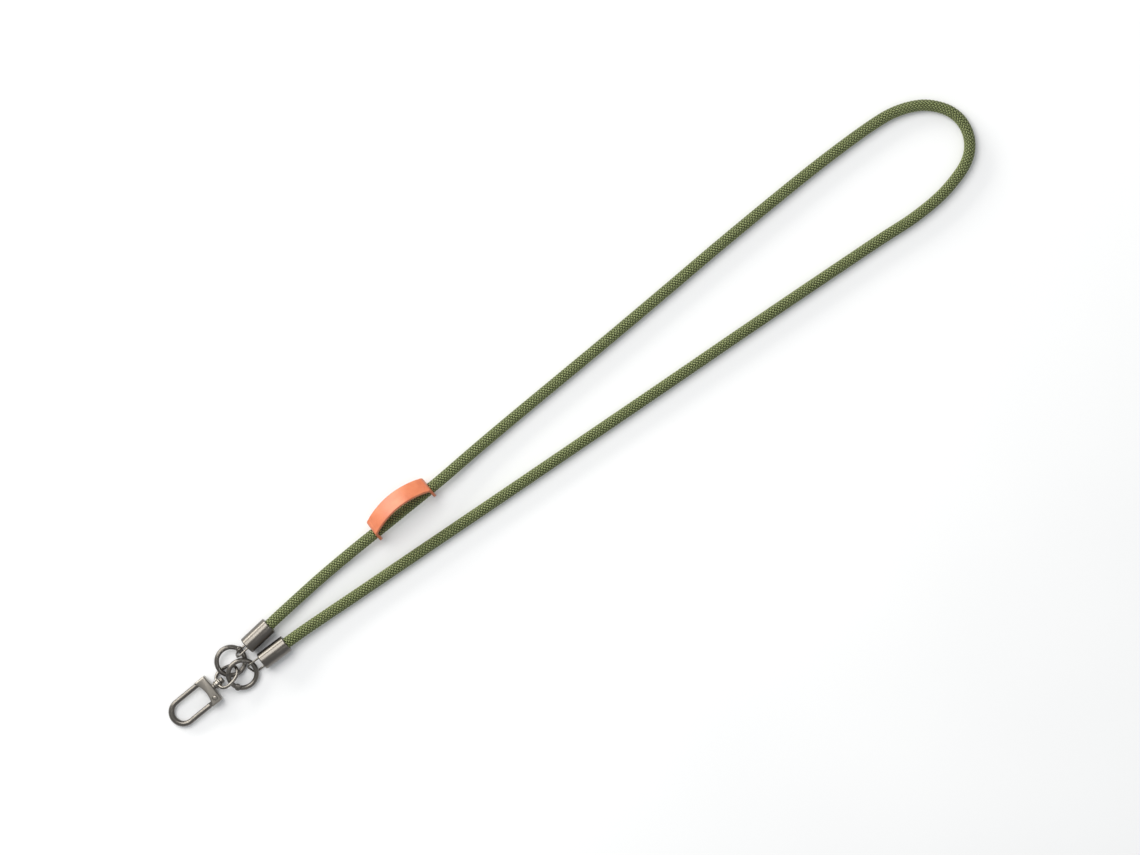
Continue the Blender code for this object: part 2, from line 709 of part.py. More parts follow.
def make_clasp_gate(frame):
    """The clasp's gate: a round bar with a slanted nose and a flat tail on the rivet."""
    pivot = Vector((-RIVET_INSET, -RIVET_OFFSET, 0))
    bar_start = -BLOCK_LENGTH - 0.5 * MM
    bar_end = -GATE_NOSE_X - HOOK_WIRE
    path = [
        Vector((bar_start + (bar_end - bar_start) * share, -HOOK_HALF, 0)) - pivot
        for share in (0.0, 0.33, 0.66, 1.0)
    ]
    gate = link_part(tube_mesh("clasp_gate", path, HOOK_WIRE / 2), gunmetal)
    place(gate, Matrix.Translation(pivot), frame)
    nose, nose_place = nose_room("nose_slant", 0.0, HOOK_WIDTH, HOOK_WIDTH / 2)
    place(nose, nose_place, frame)
    boolean(gate, nose, "INTERSECT")

    eye = RIVET_SHANK / 2 + SEAT_GAP + GATE_EYE_WALL
    outer = -BLOCK_WIDTH / 2 + BLOCK_SIDE_WALL + SEAT_GAP - pivot.y
    tail = link_cutter(block(
        "gate_tail",
        (bar_start - GATE_TAIL_REACH - pivot.x, outer, -GATE_TAIL / 2),
        (-GATE_TAIL_STOP, outer + GATE_TAIL_WIDTH, GATE_TAIL / 2),
    ))
    ring = link_cutter(cylinder("gate_eye", eye, -GATE_TAIL / 2, GATE_TAIL / 2, sides=24))
    hole = link_cutter(cylinder("gate_eye_hole", RIVET_SHANK / 2 + SEAT_GAP, -GATE_TAIL,
                                GATE_TAIL, sides=20))
    for tool, operation in ((tail, "UNION"), (ring, "UNION"), (hole, "DIFFERENCE")):
        place(tool, Matrix.Translation(pivot), frame)
        boolean(gate, tool, operation)
    smooth(gate)
    return gate


def make_rivet(frame):
    """The rivet that the clasp's gate turns on, its head let into the block's top."""
    shank = RIVET_SHANK / 2
    head = RIVET_HEAD[0] / 2
    top = BLOCK_THICKNESS / 2 + RIVET_PROUD
    profile = [
        (0.0, top),
        (head * 0.75, top),
        (head, top - RIVET_PROUD),
        (head, top - RIVET_HEAD[1]),
        (shank, top - RIVET_HEAD[1]),
        (shank, -BLOCK_THICKNESS / 2),
        (0.0, -BLOCK_THICKNESS / 2),
    ]
    rivet = link_part(turned("clasp_rivet", profile, 24), satin_metal)
    place(rivet, Matrix.Translation((-RIVET_INSET, -RIVET_OFFSET, 0)), frame)
    return rivet


def keeper_profile():
    """The strip's centre line seen from its side, and how far each point is from an end."""
    half = KEEPER_SPAN / 2
    fold = KEEPER_FOLD
    end = KEEPER_WIDTH / 2
    points = []
    for height in (-end, -end * 0.92, -end * 0.75, -end * 0.45, 0.0, end * 0.45):
        points.append((-half, height))
    shoulder = KEEPER_RISE_END - fold
    for step in range(5):
        angle = radians(80) * step / 4
        points.append((-half + fold * (1 - cos(angle)), shoulder + fold * sin(angle)))
    start_x, start_z = points[-1]
    for step in range(1, KEEPER_ARCH_STEPS):
        share = step / KEEPER_ARCH_STEPS
        x = start_x + (-2 * start_x) * share
        swell = sin(pi * share) ** 0.8
        points.append((x, start_z + (KEEPER_RISE_MIDDLE - start_z) * swell))
    left = points[:11]
    points += [(-x, z) for x, z in reversed(left)]
    return points


def make_keeper(frame):
    """A leather strip whose two folded-down round ends are threaded by the cord."""
    profile = keeper_profile()
    travelled = [0.0]
    for first, second in zip(profile, profile[1:]):
        step = sqrt((second[0] - first[0]) ** 2 + (second[1] - first[1]) ** 2)
        travelled.append(travelled[-1] + step)
    end = KEEPER_WIDTH / 2
    bm = bmesh.new()
    bmesh.ops.create_grid(bm, x_segments=len(profile) - 1, y_segments=KEEPER_ACROSS, size=1.0)
    columns = len(profile) - 1
    for vert in bm.verts:
        column = round((vert.co.x + 1) / 2 * columns)
        across = vert.co.y
        to_end = min(travelled[column], travelled[-1] - travelled[column])
        inside = max(0.0, end - to_end)
        half_width = max(sqrt(max(end ** 2 - inside ** 2, 0.0)), end * 0.22)
        x, z = profile[column]
        vert.co = (x, half_width * across, z)
    bmesh.ops.recalc_face_normals(bm, faces=bm.faces)
    keeper = link_part(mesh_object("leather_keeper", bm), leather)
    place(keeper, frame)
    wall = keeper.modifiers.new("leather", "SOLIDIFY")
    wall.thickness = KEEPER_THICKNESS
    wall.offset = 0.0
    wall.use_even_offset = True
    for side in (-1, 1):
        name = "cord_hole_left" if side < 0 else "cord_hole_right"
        at = side * KEEPER_SPAN / 2
        reach = KEEPER_THICKNESS * 1.4
        hole = link_cutter(cylinder(name, CORD_DIAMETER / 2 + KEEPER_HOLE_CLEARANCE,
                                    at - reach, at + reach, sides=20))
        place(hole, frame @ Matrix.Rotation(radians(90), 4, "Y"))
        boolean(keeper, hole, "DIFFERENCE")
    smooth(keeper, 50)
    return keeper


clear_scene()
parts = make_collection("phone_crossbody_strap")
cutters = make_collection("cutters")

cord_green = make_material("braided_cord", (0.11, 0.17, 0.04), 0.85, 0.0)
gunmetal = make_material("gunmetal", (0.22, 0.20, 0.17), 0.3, 1.0)
satin_metal = make_material("satin_gunmetal", (0.36, 0.33, 0.29), 0.35, 1.0)
leather = make_material("tan_leather", (0.55, 0.16, 0.06), 0.55, 0.0)

upper_cap_frame = cap_frame(CAP_UPPER_FRONT, CAP_UPPER_YAW)
lower_cap_frame = cap_frame(CAP_LOWER_FRONT, CAP_LOWER_YAW)
upper_centre, lower_centre, crossing = ring_centres()

clasp_height = HOOK_TIP_WIRE / 2 + (HOOK_LENGTH - HOOK_TIP_WIRE / 2) * sin(radians(CLASP_PITCH))
clasp_place = Matrix.Translation((
    crossing.x - CLASP_TO_CROSSING, crossing.y + CLASP_SIDESTEP, clasp_height,
))
clasp_turn = Matrix.Rotation(radians(CLASP_YAW), 4, "Z")
clasp_tilt = Matrix.Rotation(radians(-CLASP_PITCH), 4, "Y")
clasp_frame = make_empty("clasp_axis", clasp_place @ clasp_turn @ clasp_tilt)

make_cord()
make_cap("end_cap_upper", upper_cap_frame, CAP_UPPER_BAIL_LEAN)
make_cap("end_cap_lower", lower_cap_frame, CAP_LOWER_BAIL_LEAN)
make_ring("upper", plane_frame(upper_centre, RING_UPPER_SLOPE, RING_UPPER_PIVOT_ANGLE))
make_ring("lower", plane_frame(lower_centre, RING_LOWER_SLOPE, RING_LOWER_PIVOT_ANGLE))
make_swivel_bail(clasp_frame)
make_clasp_body(clasp_frame)
make_clasp_gate(clasp_frame)
make_rivet(clasp_frame)

keeper_spot = Vector(CORD_ROUTE_MM[KEEPER_CENTRE_ON_ROUTE]) * MM
keeper_turn = Matrix.Rotation(radians(KEEPER_YAW), 4, "Z")
keeper_lean = Matrix.Rotation(radians(KEEPER_LEAN), 4, "X")
make_keeper(Matrix.Translation(keeper_spot) @ keeper_turn @ keeper_lean)
bpy.context.view_layer.update()
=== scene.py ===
"""Looks of the phone crossbody strap: braided cord, gunmetal fittings, snap clasp and leather keeper."""

from math import asin, atan2, cos, degrees, pi, radians, sin, sqrt

import bmesh
import bpy
from mathutils import Matrix, Vector


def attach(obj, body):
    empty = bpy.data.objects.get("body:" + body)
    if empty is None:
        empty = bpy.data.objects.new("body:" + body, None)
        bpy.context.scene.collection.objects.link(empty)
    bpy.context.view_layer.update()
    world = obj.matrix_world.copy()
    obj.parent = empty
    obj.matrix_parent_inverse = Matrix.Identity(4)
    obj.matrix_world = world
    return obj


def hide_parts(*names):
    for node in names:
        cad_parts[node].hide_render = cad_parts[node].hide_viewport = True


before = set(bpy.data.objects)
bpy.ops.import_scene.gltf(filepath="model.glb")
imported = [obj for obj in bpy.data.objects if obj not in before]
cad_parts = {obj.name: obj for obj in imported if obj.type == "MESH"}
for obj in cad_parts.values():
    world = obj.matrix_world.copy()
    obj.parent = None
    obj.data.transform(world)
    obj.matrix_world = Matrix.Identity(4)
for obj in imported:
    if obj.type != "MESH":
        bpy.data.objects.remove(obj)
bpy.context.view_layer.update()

MM = 0.001

# Cord
CORD_DIAMETER = 8.0 * MM
PLAIT_COLUMNS = 16
PLAIT_PITCH = 2.35 * MM
PLAIT_STRAND_WIDTH = 1.36 * MM
PLAIT_STRAND_RISE = 0.50 * MM
PLAIT_STRAND_OVERLAP = 1.34
CORE_DIAMETER = 7.0 * MM
# Painted shade: near-black colour laid into the strands' sides and dives, where the braid's grooves fall in
# shade.
YARN_GROOVE_SHADE = (0.012, 0.018, 0.003)
YARN_DARK = (0.035, 0.050, 0.006)
YARN_OLIVE = (0.085, 0.112, 0.018)
# Painted highlight: pale colour laid along the strands' crowns in place of the light they catch.
YARN_PAINTED_HIGHLIGHT = (0.42, 0.47, 0.20)
CORD_ROUTE_MM = [
    (-246.0, 8.8, 6.15),
    (-238.0, 9.7, 5.7),
    (-215.0, 11.9, 4.5),
    (-198.0, 13.3, 4.2),
    (-180.0, 14.3, 4.8),
    (-163.0, 15.0, 6.3),
    (-145.0, 15.5, 6.6),
    (-127.5, 16.1, 6.6),
    (-110.0, 16.7, 6.6),
    (-92.0, 17.5, 6.2),
    (-64.0, 19.4, 4.6),
    (-31.5, 21.2, 4.0),
    (12.0, 23.2, 4.0),
    (59.0, 25.4, 4.0),
    (107.0, 28.0, 4.0),
    (150.0, 30.5, 4.0),
    (195.0, 32.6, 4.0),
    (243.0, 34.1, 4.0),
    (282.0, 33.8, 4.0),
    (304.0, 31.5, 4.0),
    (321.5, 24.4, 4.0),
    (332.4, 13.6, 4.0),
    (336.8, 3.0, 4.0),
    (336.5, -7.4, 4.0),
    (332.2, -17.0, 4.0),
    (324.5, -24.3, 4.0),
    (313.0, -29.2, 4.0),
    (295.0, -33.1, 4.0),
    (272.0, -34.1, 4.0),
    (244.0, -32.2, 4.0),
    (210.0, -30.3, 4.0),
    (176.0, -28.5, 4.0),
    (128.0, -26.1, 4.0),
    (75.0, -23.7, 4.0),
    (10.0, -20.6, 4.0),
    (-76.0, -16.4, 4.0),
    (-139.0, -13.2, 4.0),
    (-190.0, -10.6, 4.2),
    (-216.0, -9.2, 4.9),
    (-234.0, -8.4, 5.8),
    (-243.5, -8.2, 6.15),
]
# Turn of the plait about the cord at even shares of its length, in degrees
PLAIT_TURN = (10, -12, 0, 20, 34, 20, 0, -24, -40, -20, 0, 14)

# End caps
CAP_DIAMETER = 12.3 * MM
CAP_LENGTH = 21.0 * MM
CAP_EDGE = 0.7 * MM
CAP_BORE = 4.3 * MM
CAP_BORE_DEPTH = 15.5 * MM
CAP_STEPS = 72
CAP_UPPER_FRONT = (-268.1 * MM, 6.4 * MM)
CAP_LOWER_FRONT = (-266.2 * MM, -8.2 * MM)
CAP_UPPER_YAW = 6.3
CAP_LOWER_YAW = 0.0
CAP_BAIL_WIRE = 1.4 * MM
CAP_BAIL_HALF = 5.3 * MM
CAP_BAIL_REACH = 9.4 * MM
CAP_BAIL_CORNER = 2.6 * MM
CAP_UPPER_BAIL_LEAN = (-1.0, -74.0)
CAP_LOWER_BAIL_LEAN = (-10.5, 51.0)

# Rings
RING_RADIUS = 9.7 * MM
RING_WIRE = 3.3 * MM
RING_GATE_ANGLE = 71.0
RING_GATE_GAP = 0.35 * MM
RING_KNUCKLE_DIAMETER = 4.4 * MM
RING_KNUCKLE_HEIGHT = 3.3 * MM
RING_TONGUE = 1.1 * MM
RING_TONGUE_WIDTH = 2.5 * MM
RING_TONGUE_TURN = 11.0
RING_PIN = 1.1 * MM
RING_UPPER_CENTRE = (-283.1 * MM, 4.8 * MM, 4.25 * MM)
RING_LOWER_CENTRE = (-281.9 * MM, -7.0 * MM, 5.758 * MM)
RING_UPPER_SLOPE = (-0.085, 0.19)
RING_LOWER_SLOPE = (-0.05, 0.285)
RING_UPPER_PIVOT_ANGLE = 18.0
RING_LOWER_PIVOT_ANGLE = 214.0

# Swivel bail
BARREL_DIAMETER = 6.0 * MM
BARREL_LENGTH = 4.7 * MM
LOOP_WIRE = 2.3 * MM
LOOP_REACH = 20.3 * MM
LOOP_HALF_WIDTH = 6.9 * MM
LOOP_TAPER = 0.18
LOOP_ROUNDNESS = 0.8
LOOP_ROLL = -36.0

# Clasp
CLASP_PLACE = (-303.037 * MM, -2.227 * MM, 4.916 * MM)
CLASP_YAW = 2.3
CLASP_PITCH = 4.5
BLOCK_LENGTH = 9.2 * MM
BLOCK_WIDTH = 20.4 * MM
BLOCK_THICKNESS = 6.5 * MM
BLOCK_HOLLOW = 3.0 * MM
BLOCK_EDGE = 1.1 * MM
HOOK_LENGTH = 37.4 * MM
HOOK_WIRE = 3.6 * MM
HOOK_TIP_WIRE = 4.3 * MM
HOOK_WIDTH = 19.9 * MM
STUD_DIAMETER = 2.3 * MM
STUD_WASHER = (4.3 * MM, 1.2 * MM)
STUD_HEAD = (4.4 * MM, 2.1 * MM)
GATE_NOSE_X = 24.45 * MM
GATE_NOSE_SLANT = 26.6
GATE_GAP = 0.35 * MM
GATE_TAIL = 2.4 * MM
RIVET_INSET = 3.4 * MM
RIVET_OFFSET = 6.4 * MM
RIVET_SHANK = 1.8 * MM
RIVET_HEAD = (3.3 * MM, 0.9 * MM)
RIVET_PROUD = 0.25 * MM
SEAT_GAP = 0.3 * MM

# Keeper
KEEPER_WIDTH = 12.8 * MM
KEEPER_THICKNESS = 1.8 * MM
KEEPER_SPAN = 47.0 * MM
KEEPER_RISE_END = 7.6 * MM
KEEPER_RISE_MIDDLE = 14.4 * MM
KEEPER_FOLD = 2.6 * MM
KEEPER_LEAN = -36.0
KEEPER_YAW = 1.9
KEEPER_CENTRE = (-127.5 * MM, 16.1 * MM, 6.6 * MM)
KEEPER_HOLE = 4.35 * MM

# Picture
PHOTO_WIDTH_M = 0.7797
PHOTO_ROLL = -37.0
VIEW_CENTRE = (-2.2 * MM, -7.2 * MM)
CAMERA_HEIGHT = 2.4

HOOK_HALF = (HOOK_WIDTH - HOOK_WIRE) / 2
STUD_REACH = STUD_WASHER[1] + SEAT_GAP + BARREL_LENGTH + SEAT_GAP


# Meshes

def new_object(name, data):
    obj = bpy.data.objects.new(name, data)
    bpy.context.scene.collection.objects.link(obj)
    return obj


def to_mesh(name, bm, place=None):
    """A mesh from a bmesh, its doubles merged, its faces out and its place applied."""
    bmesh.ops.remove_doubles(bm, verts=bm.verts, dist=0.004 * MM)
    bmesh.ops.recalc_face_normals(bm, faces=bm.faces)
    if place is not None:
        bmesh.ops.transform(bm, matrix=place, verts=bm.verts)
    mesh = bpy.data.meshes.new(name)
    bm.to_mesh(mesh)
    bm.free()
    return mesh


def baked(obj, name):
    """The object's mesh with its modifiers applied; the object itself is removed."""
    bpy.context.view_layer.update()
    evaluated = obj.evaluated_get(bpy.context.evaluated_depsgraph_get())
    mesh = bpy.data.meshes.new_from_object(evaluated)
    mesh.name = name
    bpy.data.objects.remove(obj)
    return mesh


def piece(name, mesh, materials, body, stands_for=(), sharp=38.0):
    """A finished piece of the strap, riding on one of its bodies."""
    obj = new_object(name, mesh)
    mesh.materials.clear()
    for material in materials:
        mesh.materials.append(material)
    mesh.shade_smooth()
    if sharp:
        mesh.set_sharp_from_angle(angle=radians(sharp))
    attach(obj, body)
    for node in stands_for:
        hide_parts(node)
    return obj


def turned(name, profile, steps, place):
    """A turned solid: the profile (radius, along) spun about local X."""
    bm = bmesh.new()
    verts = [bm.verts.new((along, radius, 0)) for radius, along in profile]
    edges = [bm.edges.new(pair) for pair in zip(verts, verts[1:])]
    bmesh.ops.spin(bm, geom=verts + edges, cent=(0, 0, 0), axis=(1, 0, 0), angle=2 * pi,
                   steps=steps, use_merge=True)
    return to_mesh(name, bm, place)


def wire(name, points, radius, swell=None, sides=12, place=None):
    """A round wire along a poly line, as a closed mesh."""
    curve = bpy.data.curves.new(name, "CURVE")
    curve.dimensions = "3D"
    curve.bevel_depth = radius
    curve.bevel_resolution = max(0, sides // 2 - 2)
    curve.use_fill_caps = True
    spline = curve.splines.new("POLY")
    spline.points.add(len(points) - 1)
    for number, point in enumerate(points):
        spline.points[number].co = (*point, 1.0)
        spline.points[number].radius = swell[number] if swell else 1.0
    mesh = baked(new_object(name, curve), name)
    bm = bmesh.new()
    bm.from_mesh(mesh)
    bpy.data.meshes.remove(mesh)
    return to_mesh(name, bm, place)


def disc(name, radius, low, high, centre=(0, 0), sides=48, place=None, edge=0.0):
    """A short cylinder along local Z, its rims rounded when edge is given."""
    bm = bmesh.new()
    middle = Matrix.Translation((centre[0], centre[1], (low + high) / 2))
    bmesh.ops.create_cone(bm, cap_ends=True, segments=sides, radius1=radius, radius2=radius,
                          depth=high - low, matrix=middle)
    if edge:
        rims = [e for e in bm.edges if abs(e.verts[0].co.z - e.verts[1].co.z) < 1e-7]
        bmesh.ops.bevel(bm, geom=rims, offset=edge, segments=3, profile=0.5,
                        affect="EDGES", material=-1)
    return to_mesh(name, bm, place)


def bar(name, low, high, place=None):
    """A rectangular bar between two corners, for slots and tongues."""
    bm = bmesh.new()
    size = Vector(high) - Vector(low)
    shape = Matrix.Translation((Vector(high) + Vector(low)) / 2) @ Matrix.Diagonal((*size, 1.0))
    bmesh.ops.create_cube(bm, size=1.0, matrix=shape)
    return to_mesh(name, bm, place)


def carved(mesh, steps):
    """The mesh after joining or cutting it with others, one after another."""
    name = mesh.name
    obj = new_object(name + "_blank", mesh)
    helpers = []
    for number, (operation, other) in enumerate(steps):
        helper = new_object(f"{name}_step_{number}", other)
        helpers.append(helper)
        mod = obj.modifiers.new(helper.name, "BOOLEAN")
        mod.operation = operation
        mod.solver = "EXACT"
        mod.object = helper
    result = baked(obj, name)
    for helper in helpers:
        bpy.data.objects.remove(helper)
    bm = bmesh.new()
    bm.from_mesh(result)
    bpy.data.meshes.remove(result)
    bmesh.ops.dissolve_degenerate(bm, dist=0.003 * MM, edges=bm.edges)
    return to_mesh(name, bm)


# Materials

def new_material(name):
    mat = bpy.data.materials.new(name)
    mat.use_nodes = True
    nodes = mat.node_tree.nodes
    return mat, nodes, mat.node_tree.links, nodes["Principled BSDF"]


def node(nodes, kind, **settings):
    made = nodes.new(kind)
    for key, value in settings.items():
        setattr(made, key, value)
    return made


def ramp(nodes, stops):
    made = nodes.new("ShaderNodeValToRGB")
    elements = made.color_ramp.elements
    while len(elements) < len(stops):
        elements.new(0.5)
    for element, (at, colour) in zip(elements, stops):
        element.position = at
        element.color = (*colour, 1.0)
    return made


def effect_group(name, inputs, outputs):
    """An empty shader node group with named sockets."""
    tree = bpy.data.node_groups.new(name, "ShaderNodeTree")
    for label, kind, default in inputs:
        socket = tree.interface.new_socket(name=label, in_out="INPUT", socket_type=kind)
        if default is not None:
            socket.default_value = default
    for label, kind in outputs:
        tree.interface.new_socket(name=label, in_out="OUTPUT", socket_type=kind)
    return tree, tree.nodes.new("NodeGroupInput"), tree.nodes.new("NodeGroupOutput")


def make_metal_effect():
    """Fine drawn lines and slow tonal clouds over plated metal."""
    tree, given, out = effect_group(
        "plated_metal_surface",
        [("Vector", "NodeSocketVector", None), ("Line Scale", "NodeSocketFloat", 1500.0),
         ("Cloud Scale", "NodeSocketFloat", 160.0)],
        [("Lines", "NodeSocketFloat"), ("Clouds", "NodeSocketFloat"), ("Specks", "NodeSocketFloat")],
    )
    nodes, links = tree.nodes, tree.links
    lines = node(nodes, "ShaderNodeTexNoise", noise_dimensions="3D")
    lines.inputs["Detail"].default_value = 3.0
    lines.inputs["Roughness"].default_value = 0.6
    links.new(given.outputs["Vector"], lines.inputs["Vector"])
    links.new(given.outputs["Line Scale"], lines.inputs["Scale"])
    place = nodes.new("ShaderNodeTexCoord")
    clouds = nodes.new("ShaderNodeTexNoise")
    clouds.inputs["Detail"].default_value = 4.0
    links.new(place.outputs["Object"], clouds.inputs["Vector"])
    links.new(given.outputs["Cloud Scale"], clouds.inputs["Scale"])
    specks = nodes.new("ShaderNodeTexNoise")
    specks.inputs["Scale"].default_value = 4200.0
    specks.inputs["Detail"].default_value = 2.0
    links.new(place.outputs["Object"], specks.inputs["Vector"])
    links.new(lines.outputs["Fac"], out.inputs["Lines"])
    links.new(clouds.outputs["Fac"], out.inputs["Clouds"])
    links.new(specks.outputs["Fac"], out.inputs["Specks"])
    return tree


def plated_metal(name, dark, light, rough, place, stretch):
    """Plated metal; place is the piece's frame and stretch squeezes the lines along each axis."""
    mat, nodes, links, shader = new_material(name)
    coords = nodes.new("ShaderNodeTexCoord")
    back = node(nodes, "ShaderNodeMapping", vector_type="POINT")
    inverse = place.inverted()
    back.inputs["Location"].default_value = inverse.to_translation()
    back.inputs["Rotation"].default_value = inverse.to_euler("XYZ")
    squeeze = node(nodes, "ShaderNodeVectorMath", operation="MULTIPLY")
    squeeze.inputs[1].default_value = stretch
    effect = node(nodes, "ShaderNodeGroup", node_tree=metal_effect)
    links.new(coords.outputs["Object"], back.inputs["Vector"])
    links.new(back.outputs["Vector"], squeeze.inputs[0])
    links.new(squeeze.outputs["Vector"], effect.inputs["Vector"])
    tone = ramp(nodes, [(0.3, dark), (0.7, light)])
    links.new(effect.outputs["Clouds"], tone.inputs["Fac"])
    links.new(tone.outputs["Color"], shader.inputs["Base Color"])
    shine = node(nodes, "ShaderNodeMapRange")
    shine.inputs["From Min"].default_value = 0.3
    shine.inputs["From Max"].default_value = 0.7
    shine.inputs["To Min"].default_value = rough[0]
    shine.inputs["To Max"].default_value = rough[1]
    links.new(effect.outputs["Lines"], shine.inputs["Value"])
    links.new(shine.outputs["Result"], shader.inputs["Roughness"])
    height = node(nodes, "ShaderNodeMath", operation="MULTIPLY_ADD")
    height.inputs[1].default_value = 0.35
    links.new(effect.outputs["Specks"], height.inputs[0])
    links.new(effect.outputs["Lines"], height.inputs[2])
    bump = nodes.new("ShaderNodeBump")
    bump.inputs["Strength"].default_value = 0.12
    bump.inputs["Distance"].default_value = 0.03 * MM
    links.new(height.outputs["Value"], bump.inputs["Height"])
    links.new(bump.outputs["Normal"], shader.inputs["Normal"])
    shader.inputs["Metallic"].default_value = 1.0
    shader.inputs["Coat Weight"].default_value = 0.5
    shader.inputs["Coat Roughness"].default_value = 0.12
    return mat


def strand_material():
    """Olive polyester yarn with fine filaments: painted shade darkens its sides and dives, and a painted
    highlight runs pale along its crown.
    """
    mat, nodes, links, shader = new_material("olive_yarn")
    layout = node(nodes, "ShaderNodeUVMap", uv_map="yarn")
    stretch = node(nodes, "ShaderNodeVectorMath", operation="MULTIPLY")
    stretch.inputs[1].default_value = (2.0, 30.0, 1.0)
    filaments = nodes.new("ShaderNodeTexNoise")
    filaments.inputs["Scale"].default_value = 1.0
    filaments.inputs["Detail"].default_value = 2.0
    links.new(layout.outputs["UV"], stretch.inputs[0])
    links.new(stretch.outputs["Vector"], filaments.inputs["Vector"])
    split = nodes.new("ShaderNodeSeparateXYZ")
    links.new(layout.outputs["UV"], split.inputs["Vector"])
    across = node(nodes, "ShaderNodeMath", operation="ABSOLUTE")
    links.new(split.outputs["Y"], across.inputs[0])
    along = node(nodes, "ShaderNodeMath", operation="ABSOLUTE")
    links.new(split.outputs["X"], along.inputs[0])
    ridge = node(nodes, "ShaderNodeMapRange", interpolation_type="SMOOTHSTEP")
    for label, value in (("From Min", 0.03), ("From Max", 0.17), ("To Min", 1.0), ("To Max", 0.0)):
        ridge.inputs[label].default_value = value
    links.new(across.outputs["Value"], ridge.inputs["Value"])
    middle = node(nodes, "ShaderNodeMapRange", interpolation_type="SMOOTHSTEP")
    for label, value in (("From Min", 0.35), ("From Max", 0.85), ("To Min", 1.0), ("To Max", 0.1)):
        middle.inputs[label].default_value = value
    links.new(along.outputs["Value"], middle.inputs["Value"])
    # Painted highlight mask: strongest on the crown ridge at the middle of each strand; the patches below
    # vary it at random.
    crown_highlight_mask = node(nodes, "ShaderNodeMath", operation="MULTIPLY")
    links.new(ridge.outputs["Result"], crown_highlight_mask.inputs[0])
    links.new(middle.outputs["Result"], crown_highlight_mask.inputs[1])
    coords = nodes.new("ShaderNodeTexCoord")
    patches = nodes.new("ShaderNodeTexNoise")
    patches.inputs["Scale"].default_value = 520.0
    patches.inputs["Detail"].default_value = 3.0
    links.new(coords.outputs["Object"], patches.inputs["Vector"])
    uneven = nodes.new("ShaderNodeMapRange")
    for label, value in (("From Min", 0.3), ("From Max", 0.7), ("To Min", 0.55), ("To Max", 1.0)):
        uneven.inputs[label].default_value = value
    links.new(patches.outputs["Fac"], uneven.inputs["Value"])
    pale = node(nodes, "ShaderNodeMath", operation="MULTIPLY")
    links.new(crown_highlight_mask.outputs["Value"], pale.inputs[0])
    links.new(uneven.outputs["Result"], pale.inputs[1])
    dyed = ramp(nodes, [(0.35, YARN_DARK), (0.65, YARN_OLIVE)])
    links.new(filaments.outputs["Fac"], dyed.inputs["Fac"])
    # Mix the painted crown highlight over the dyed olive.
    lit = node(nodes, "ShaderNodeMix", data_type="RGBA", blend_type="MIX")
    lit.inputs["B"].default_value = (*YARN_PAINTED_HIGHLIGHT, 1.0)
    links.new(pale.outputs["Value"], lit.inputs["Factor"])
    links.new(dyed.outputs["Color"], lit.inputs["A"])
    # Painted shade: where the crown value falls, the colour mixes towards the near-black groove colour.
    crown = node(nodes, "ShaderNodeAttribute", attribute_name="crown")
    shade = node(nodes, "ShaderNodeMix", data_type="RGBA", blend_type="MIX")
    shade.inputs["A"].default_value = (*YARN_GROOVE_SHADE, 1.0)
    links.new(crown.outputs["Fac"], shade.inputs["Factor"])
    links.new(lit.outputs["Result"], shade.inputs["B"])
    links.new(shade.outputs["Result"], shader.inputs["Base Color"])
    bump = nodes.new("ShaderNodeBump")
    bump.inputs["Strength"].default_value = 0.5
    bump.inputs["Distance"].default_value = 0.08 * MM
    links.new(filaments.outputs["Fac"], bump.inputs["Height"])
    links.new(bump.outputs["Normal"], shader.inputs["Normal"])
    shader.inputs["Roughness"].default_value = 0.4
    shader.inputs["Specular IOR Level"].default_value = 0.4
    return mat


def shaded_core_material():
    mat, nodes, links, shader = new_material("olive_core_painted_shade")
    coords = nodes.new("ShaderNodeTexCoord")
    grain = nodes.new("ShaderNodeTexNoise")
    grain.inputs["Scale"].default_value = 1400.0
    links.new(coords.outputs["Object"], grain.inputs["Vector"])
    # Painted shade: the yarn's olive hue darkened to near black, standing for the deep shade in the gaps
    # between the strands.
    tone = ramp(nodes, [(0.35, (0.006, 0.009, 0.002)), (0.65, (0.02, 0.028, 0.006))])
    links.new(grain.outputs["Fac"], tone.inputs["Fac"])
    links.new(tone.outputs["Color"], shader.inputs["Base Color"])
    shader.inputs["Roughness"].default_value = 0.95
    return mat


def make_leather_effect():
    """Leather grain: pores, slow colour clouds and fine creases."""
    tree, given, out = effect_group(
        "leather_surface",
        [("Pore Scale", "NodeSocketFloat", 1900.0), ("Cloud Scale", "NodeSocketFloat", 90.0)],
        [("Pores", "NodeSocketFloat"), ("Clouds", "NodeSocketFloat")],
    )
    nodes, links = tree.nodes, tree.links
    coords = nodes.new("ShaderNodeTexCoord")
    pores = node(nodes, "ShaderNodeTexVoronoi", feature="DISTANCE_TO_EDGE")
    pores.inputs["Randomness"].default_value = 0.95
    links.new(coords.outputs["Object"], pores.inputs["Vector"])
    links.new(given.outputs["Pore Scale"], pores.inputs["Scale"])
    level = nodes.new("ShaderNodeMapRange")
    level.inputs["From Max"].default_value = 0.25
    links.new(pores.outputs["Distance"], level.inputs["Value"])
    clouds = nodes.new("ShaderNodeTexNoise")
    clouds.inputs["Detail"].default_value = 5.0
    clouds.inputs["Roughness"].default_value = 0.62
    links.new(coords.outputs["Object"], clouds.inputs["Vector"])
    links.new(given.outputs["Cloud Scale"], clouds.inputs["Scale"])
    links.new(level.outputs["Result"], out.inputs["Pores"])
    links.new(clouds.outputs["Fac"], out.inputs["Clouds"])
    return tree


